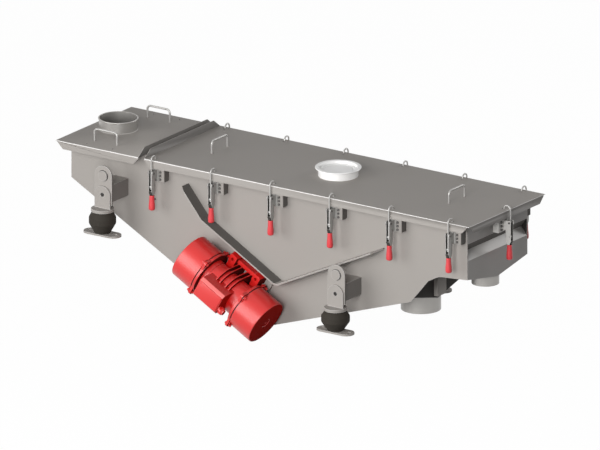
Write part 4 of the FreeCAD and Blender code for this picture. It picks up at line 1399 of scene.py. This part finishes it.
@dataclass
class Latches:
    """The hook latches, modelled once at a lid edge with the machine towards +Y and the lid top at Z 0."""

    frame: Frame
    dresser: Dresser
    rod: float = 8.0
    rod_out: float = 9.0
    pivot_out: float = 12.0
    pivot_depth: float = 63.0
    trunnion_depth: float = 137.0
    tip_inset: float = 28.5
    tip_gap: float = 0.4
    crown: float = 20.5
    tail: float = 11.0
    trunnion: float = 13.0
    trunnion_chamfer: float = 0.6
    fork_gap: float = 15.0
    cheek: float = 3.0
    pin: float = 7.0
    pin_chamfer: float = 0.5
    pin_reach: float = 1.0
    nut_radius: float = 6.5
    nut_height: float = 4.0
    grip_top: float = 180.0
    grip_length: float = 81.0
    grip_out: float = 4.0
    grip_small: float = 12.5
    grip_large: float = 16.25
    grip_end: float = 10.0
    bracket_face: float = 26.0
    bolt_column: float = 31.0
    bolt_depths: tuple[float, ...] = (63.0, 82.0, 101.0)
    keeper_inset: float = 38.0
    keeper_radius: float = 3.4
    keeper_height: float = 1.8
    pin_head: float = 5.5
    pin_head_start: float = 14.0
    pin_head_end: float = 18.5

    def build(self) -> None:
        """Make all pieces of the latches."""
        border = (span("outlet_end_wall")[1].x - 1.0) * MM
        # Painted highlight: Paint.EDGE lightens the brackets' rounded edges.
        brackets = self.dresser.refine("latch_brackets", Paint.BODY, 0.8, "body_paint", Paint.EDGE)
        # Painted shade: the brackets' sides that look towards the outlet in a dark sheet.
        self.dresser.repaint(brackets, Paint.SHEET_SHADE, lambda face: face.normal.x > 0.9)
        bases = self.dresser.refine("latch_bases", Paint.ZINC, 0.5, "latch_steel")
        # Painted light: the end latch's bracket and base in a lighter sheet.
        for piece in (brackets, bases):
            self.dresser.repaint(piece, Paint.SHEET_LIGHT, lambda face: face.center.x > border)
        self.fixed_bolts()
        self.levers()
        self.hooks()

    def places(self) -> dict[str, Matrix]:
        """The place of each latch, by its label in the CAD frame.

        Returns:
            Label to matrix.
        """
        found = {}
        for node in sorted(frame["nodes"]):
            if not node.startswith("latch_hook_"):
                continue
            label = node.removeprefix("latch_hook_")
            low, high = span(node)
            if label == "end":
                turn = Matrix.Rotation(math.radians(90), 4, "Z") @ Matrix.Diagonal((-1, 1, 1, 1))
                found[label] = shift(self.frame.lid_outlet, (low.y + high.y) / 2, self.frame.lid_top) @ turn
                continue
            place = shift((low.x + high.x) / 2, self.frame.lid_front, self.frame.lid_top)
            found[label] = self.frame.mirror() @ place if label.startswith("back") else place
        return found

    def fixed_bolts(self) -> None:
        """Bolt each bracket, head its pivot pins and put the keeper screw beside each hook tip."""
        bolt = hex_bolt(across=10, head=5, washer=6.5)
        columns = [shift(self.bolt_column, self.bracket_face, -depth) @ aim(Axis.FRONT.value)
                   for depth in self.bolt_depths]
        head = disc(self.pin_head, self.pin_head_end - self.pin_head_start, 20)
        soften(head, 1.0)
        ends = [shift(side * self.pin_head_start, -self.pivot_out, -self.pivot_depth)
                @ aim(Axis.OUTLET.value * side) for side in (-1, 1)]
        screw = round_head(self.keeper_radius, self.keeper_height)
        keeper = [shift(0, self.keeper_inset, 0)]
        places = self.places().values()
        for model, spots, name, slot in ((bolt, columns, "bracket_bolts", "latch_steel"),
                                         (head, ends, "pivot_pin_heads", "latch_steel"),
                                         (screw, keeper, "keeper_screws", "bright_rod")):
            pieces = copies_at(model, [place @ spot for place in places for spot in spots], name)
            self.dresser.add(pieces, Paint.SCREW, slot)

    def fork(self) -> bpy.types.Object:
        """Cut the fork from the CAD lever, above its grip, and round its edges.

        Returns:
            The modelled fork.
        """
        fork = copy_of("latch_lever_front_1", "fork")
        fork.data.transform(self.places()["front_1"].inverted())
        choose(fork)
        bpy.ops.object.mode_set(mode="EDIT")
        bpy.ops.mesh.select_all(action="SELECT")
        bpy.ops.mesh.bisect(plane_co=(0, 0, -self.grip_top * MM), plane_no=Axis.DOWN.value,
                            clear_outer=True, use_fill=True)
        bpy.ops.object.mode_set(mode="OBJECT")
        soften(fork, 0.7)
        return fork

    def grip(self) -> bpy.types.Object:
        """Turn the plastic grip: a collar, a slim neck and a fuller rounded end.

        Returns:
            The modelled grip.
        """
        low, end = -self.grip_length, self.grip_end
        small, large = self.grip_small, self.grip_large
        nose = large - 0.3
        profile = [(0, 0), (small - 2, 0), (small - 0.5, -1.5), (small, -4), (small + 0.1, -14),
                   (small + 1.0, -30), (large - 0.8, -46), (large, low + large), (nose, low + end)]
        for step in range(1, 8):
            turn = math.radians(90 * step / 8)
            profile.append((nose * math.cos(turn), low + end - end * math.sin(turn)))
        grip = turned("grip", profile + [(0, low)], 40)
        grip.data.transform(shift(0, -self.grip_out, -self.grip_top))
        return grip

    def levers(self) -> None:
        """Place a fork and a grip on each lever body."""
        fork = self.fork()
        grip = self.grip()
        for label, place in self.places().items():
            body = "lever_" + label
            # Painted light: the end latch's fork in a lighter sheet than the zinc of the others.
            paint = Paint.SHEET_LIGHT if label == "end" else Paint.ZINC
            steel = copies_at(fork, [place], "fork_" + label, keep=True)
            self.dresser.add(steel, paint, "latch_steel", body, ("latch_lever_" + label,))
            self.paint_channel_shade(steel, place.inverted())
            red = copies_at(grip, [place], "grip_" + label, keep=True)
            self.dresser.add(red, Paint.GRIP, "latch_lever", body)
        bpy.data.objects.remove(fork)
        bpy.data.objects.remove(grip)

    def paint_channel_shade(self, fork: bpy.types.Object, local: Matrix) -> None:
        """Paint shade on the inside of a lever's channel, in near black.

        Args:
            fork: The placed fork.
            local: Turns the part's frame into the latch's own.
        """
        reach = (self.fork_gap / 2 + 0.3) * MM

        def in_channel(face: bpy.types.MeshPolygon) -> bool:
            """Whether a face lies between the cheeks and looks out or at the other cheek."""
            spot, facing = local @ face.center, local.to_3x3() @ face.normal
            return abs(spot.x) < reach and (facing.y < -0.9 or facing.x * spot.x < 0)

        self.dresser.repaint(fork, Paint.INSIDE, in_channel)

    def roller(self, name: str, radius: float, half: float, chamfer: float, steps: int) -> bpy.types.Object:
        """A chamfered round bar that lies across the latch at its trunnion.

        Args:
            name: Name of the piece.
            radius: Its radius in millimetres.
            half: Half of its length.
            chamfer: Width of the chamfer at each end.
            steps: Faces around it.

        Returns:
            The modelled bar.
        """
        ends = [(0, -half), (radius - chamfer, -half), (radius, chamfer - half), (radius, half - chamfer),
                (radius - chamfer, half), (0, half)]
        bar = turned(name, ends, steps)
        across = Matrix.Rotation(math.radians(90), 4, "Y")
        bar.data.transform(shift(0, -self.rod_out, -self.trunnion_depth) @ across)
        return bar

    def hook(self) -> bpy.types.Object:
        """Bend the hook from one rod, with its trunnion, pins and tail nut.

        Returns:
            The modelled hook.
        """
        y, end = -self.rod_out, -self.trunnion_depth - self.tail
        path = [Vector((0, y, end)), Vector((0, y, self.crown)), Vector((0, self.tip_inset, self.crown)),
                Vector((0, self.tip_inset, self.tip_gap))]
        bend = (self.tip_inset + self.rod_out) / 2 - 0.01
        bar = bar_along("hook_rod", [point * MM for point in path], bend, self.rod / 2)
        half = self.fork_gap / 2
        barrel = self.roller("barrel", self.trunnion / 2, half - 0.5, self.trunnion_chamfer, 28)
        pin = self.roller("pin", self.pin / 2, half + self.cheek + self.pin_reach, self.pin_chamfer, 24)
        nut = disc(self.nut_radius, self.nut_height, 6)
        soften(nut, 0.5, 1)
        nut.data.transform(shift(0, y, end))
        return join([bar, barrel, pin, nut], "hook")

    def hooks(self) -> None:
        """Place a hook on each hook body."""
        hook = self.hook()
        for label, place in self.places().items():
            piece = copies_at(hook, [place], "hook_rod_" + label, keep=True)
            self.dresser.add(piece, Paint.ROD, "bright_rod", "hook_" + label, ("latch_hook_" + label,))
        bpy.data.objects.remove(hook)


@dataclass(frozen=True)
class Lamp:
    """A square lamp, by its direction and distance from the machine in metres."""

    name: str
    direction: tuple[float, float, float]
    distance: float
    size: float
    power: float

    def hang(self, centre: Vector) -> None:
        """Hang the lamp and aim it at the machine's centre.

        Args:
            centre: The centre in metres.
        """
        data = bpy.data.lights.new(self.name, "AREA")
        data.size = self.size
        data.energy = self.power
        offset = Vector(self.direction) * self.distance
        placed(self.name, data).matrix_world = Matrix.Translation(centre + offset) @ aim(offset)


@dataclass
class Studio:
    """The camera that matches the photograph, a pale floor and plain soft lamps: sizes in metres."""

    azimuth: float = 34.7
    elevation: float = 17.77
    width: float = 3.0
    aim_right: float = -0.1775
    aim_up: float = 0.5338
    distance: float = 9.0
    floor_size: float = 60.0
    floor_z: float = -0.145
    floor_glow: float = 0.98
    floor_tone: float = 0.86
    bounce_tone: float = 0.12
    world: float = 0.17
    centre: tuple[float, float, float] = (-0.5, 0.43, 0.3)
    hung: tuple[Lamp, ...] = (Lamp("key", (-0.42, -0.86, 0.22), 8.0, 6.0, 440.0),
                              Lamp("fill", (0.34, -0.90, 0.28), 8.0, 3.0, 410.0),
                              Lamp("rim", (0.45, 0.80, 0.38), 6.0, 2.0, 80.0))

    def build(self) -> None:
        """Set the stage."""
        self.camera()
        self.floor()
        self.sky()
        self.lamps()
        bpy.context.scene.view_settings.view_transform = "Standard"

    def axes(self) -> tuple[Vector, Vector, Vector]:
        """Right, up and backward directions of the photograph's view.

        Returns:
            The three directions.
        """
        turn = math.radians(self.azimuth)
        lift = math.radians(self.elevation)
        right = Vector((math.cos(turn), math.sin(turn), 0))
        back = Vector((math.sin(turn) * math.cos(lift), -math.cos(turn) * math.cos(lift), math.sin(lift)))
        return right, back.cross(right), back

    def camera(self) -> None:
        """Place the parallel camera."""
        right, up, back = self.axes()
        data = bpy.data.cameras.new("photo_camera")
        data.type = "ORTHO"
        data.ortho_scale = self.width
        data.clip_end = 100.0
        camera = placed("photo_camera", data)
        spot = right * self.aim_right + up * self.aim_up + back * self.distance
        camera.matrix_world = Matrix.Translation(spot) @ axes_to(right, up, back)
        bpy.context.scene.camera = camera

    def floor(self) -> None:
        """Lay a pale floor that shows the machine's shadow faintly and bounces little light."""
        deselect()
        bpy.ops.mesh.primitive_plane_add(size=self.floor_size, location=(0, 0, self.floor_z))
        floor = bpy.context.active_object
        floor.name = "pale_floor"
        paint = bpy.data.materials.new("pale_floor")
        paint.use_nodes = True
        tree = paint.node_tree
        rays = new_node(tree, "LightPath", {})
        tone = new_node(tree, "Mix", {FACTOR: rays.outputs["Is Diffuse Ray"],
                                      COLOUR_A: (self.floor_tone,) * 3 + (1,),
                                      COLOUR_B: (self.bounce_tone,) * 3 + (1,)}, data_type="RGBA")
        shader = tree.nodes["Principled BSDF"]
        feed(tree, shader, {"Base Color": tone.outputs[MIXED], "Roughness": 0.9})
        glow = new_node(tree, "Emission", {"Strength": 1.0})
        share = new_node(tree, "Math", {0: self.seen(tree, rays), 1: self.floor_glow}, operation="MULTIPLY")
        mix = new_node(tree, "MixShader", {"Fac": share.outputs[0], 1: shader.outputs["BSDF"],
                                           2: glow.outputs["Emission"]})
        feed(tree, tree.nodes["Material Output"], {"Surface": mix.outputs["Shader"]})
        floor.data.materials.append(paint)

    def seen(self, tree: bpy.types.NodeTree, rays: bpy.types.Node) -> bpy.types.NodeSocket:
        """One for rays that show the background: camera, glossy and transmission rays.

        Args:
            tree: The node tree.
            rays: Its Light Path node.

        Returns:
            The socket that puts it out.
        """
        shown = rays.outputs["Is Camera Ray"]
        for kind in ("Is Glossy Ray", "Is Transmission Ray"):
            shown = new_node(tree, "Math", {0: shown, 1: rays.outputs[kind]}, operation="MAXIMUM").outputs[0]
        return shown

    def sky(self) -> None:
        """Show white behind the machine and light it from all sides at a plain level."""
        world = bpy.data.worlds.new("studio")
        bpy.context.scene.world = world
        world.use_nodes = True
        tree = world.node_tree
        white = (1, 1, 1, 1)
        fill = tree.nodes["Background"]
        feed(tree, fill, {"Color": white, "Strength": self.world})
        shown = new_node(tree, "Background", {"Color": white, "Strength": 1.0})
        mix = new_node(tree, "MixShader", {"Fac": self.seen(tree, new_node(tree, "LightPath", {})),
                                           1: fill.outputs["Background"], 2: shown.outputs["Background"]})
        feed(tree, tree.nodes["World Output"], {"Surface": mix.outputs["Shader"]})

    def lamps(self) -> None:
        """Hang a wide key lamp in front on the left, a smaller one on the right, and a weak one behind."""
        for lamp in self.hung:
            lamp.hang(Vector(self.centre))


def main() -> None:
    """Dress the machine and set the stage."""
    logging.basicConfig(level=logging.INFO, format="%(message)s")
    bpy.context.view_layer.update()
    places = Frame.read()
    dresser = Dresser()
    for part in (Shell, Lids, Motors, Supports, Latches):
        part(places, dresser).build()
    Studio().build()


if __name__ == "__main__":
    main()
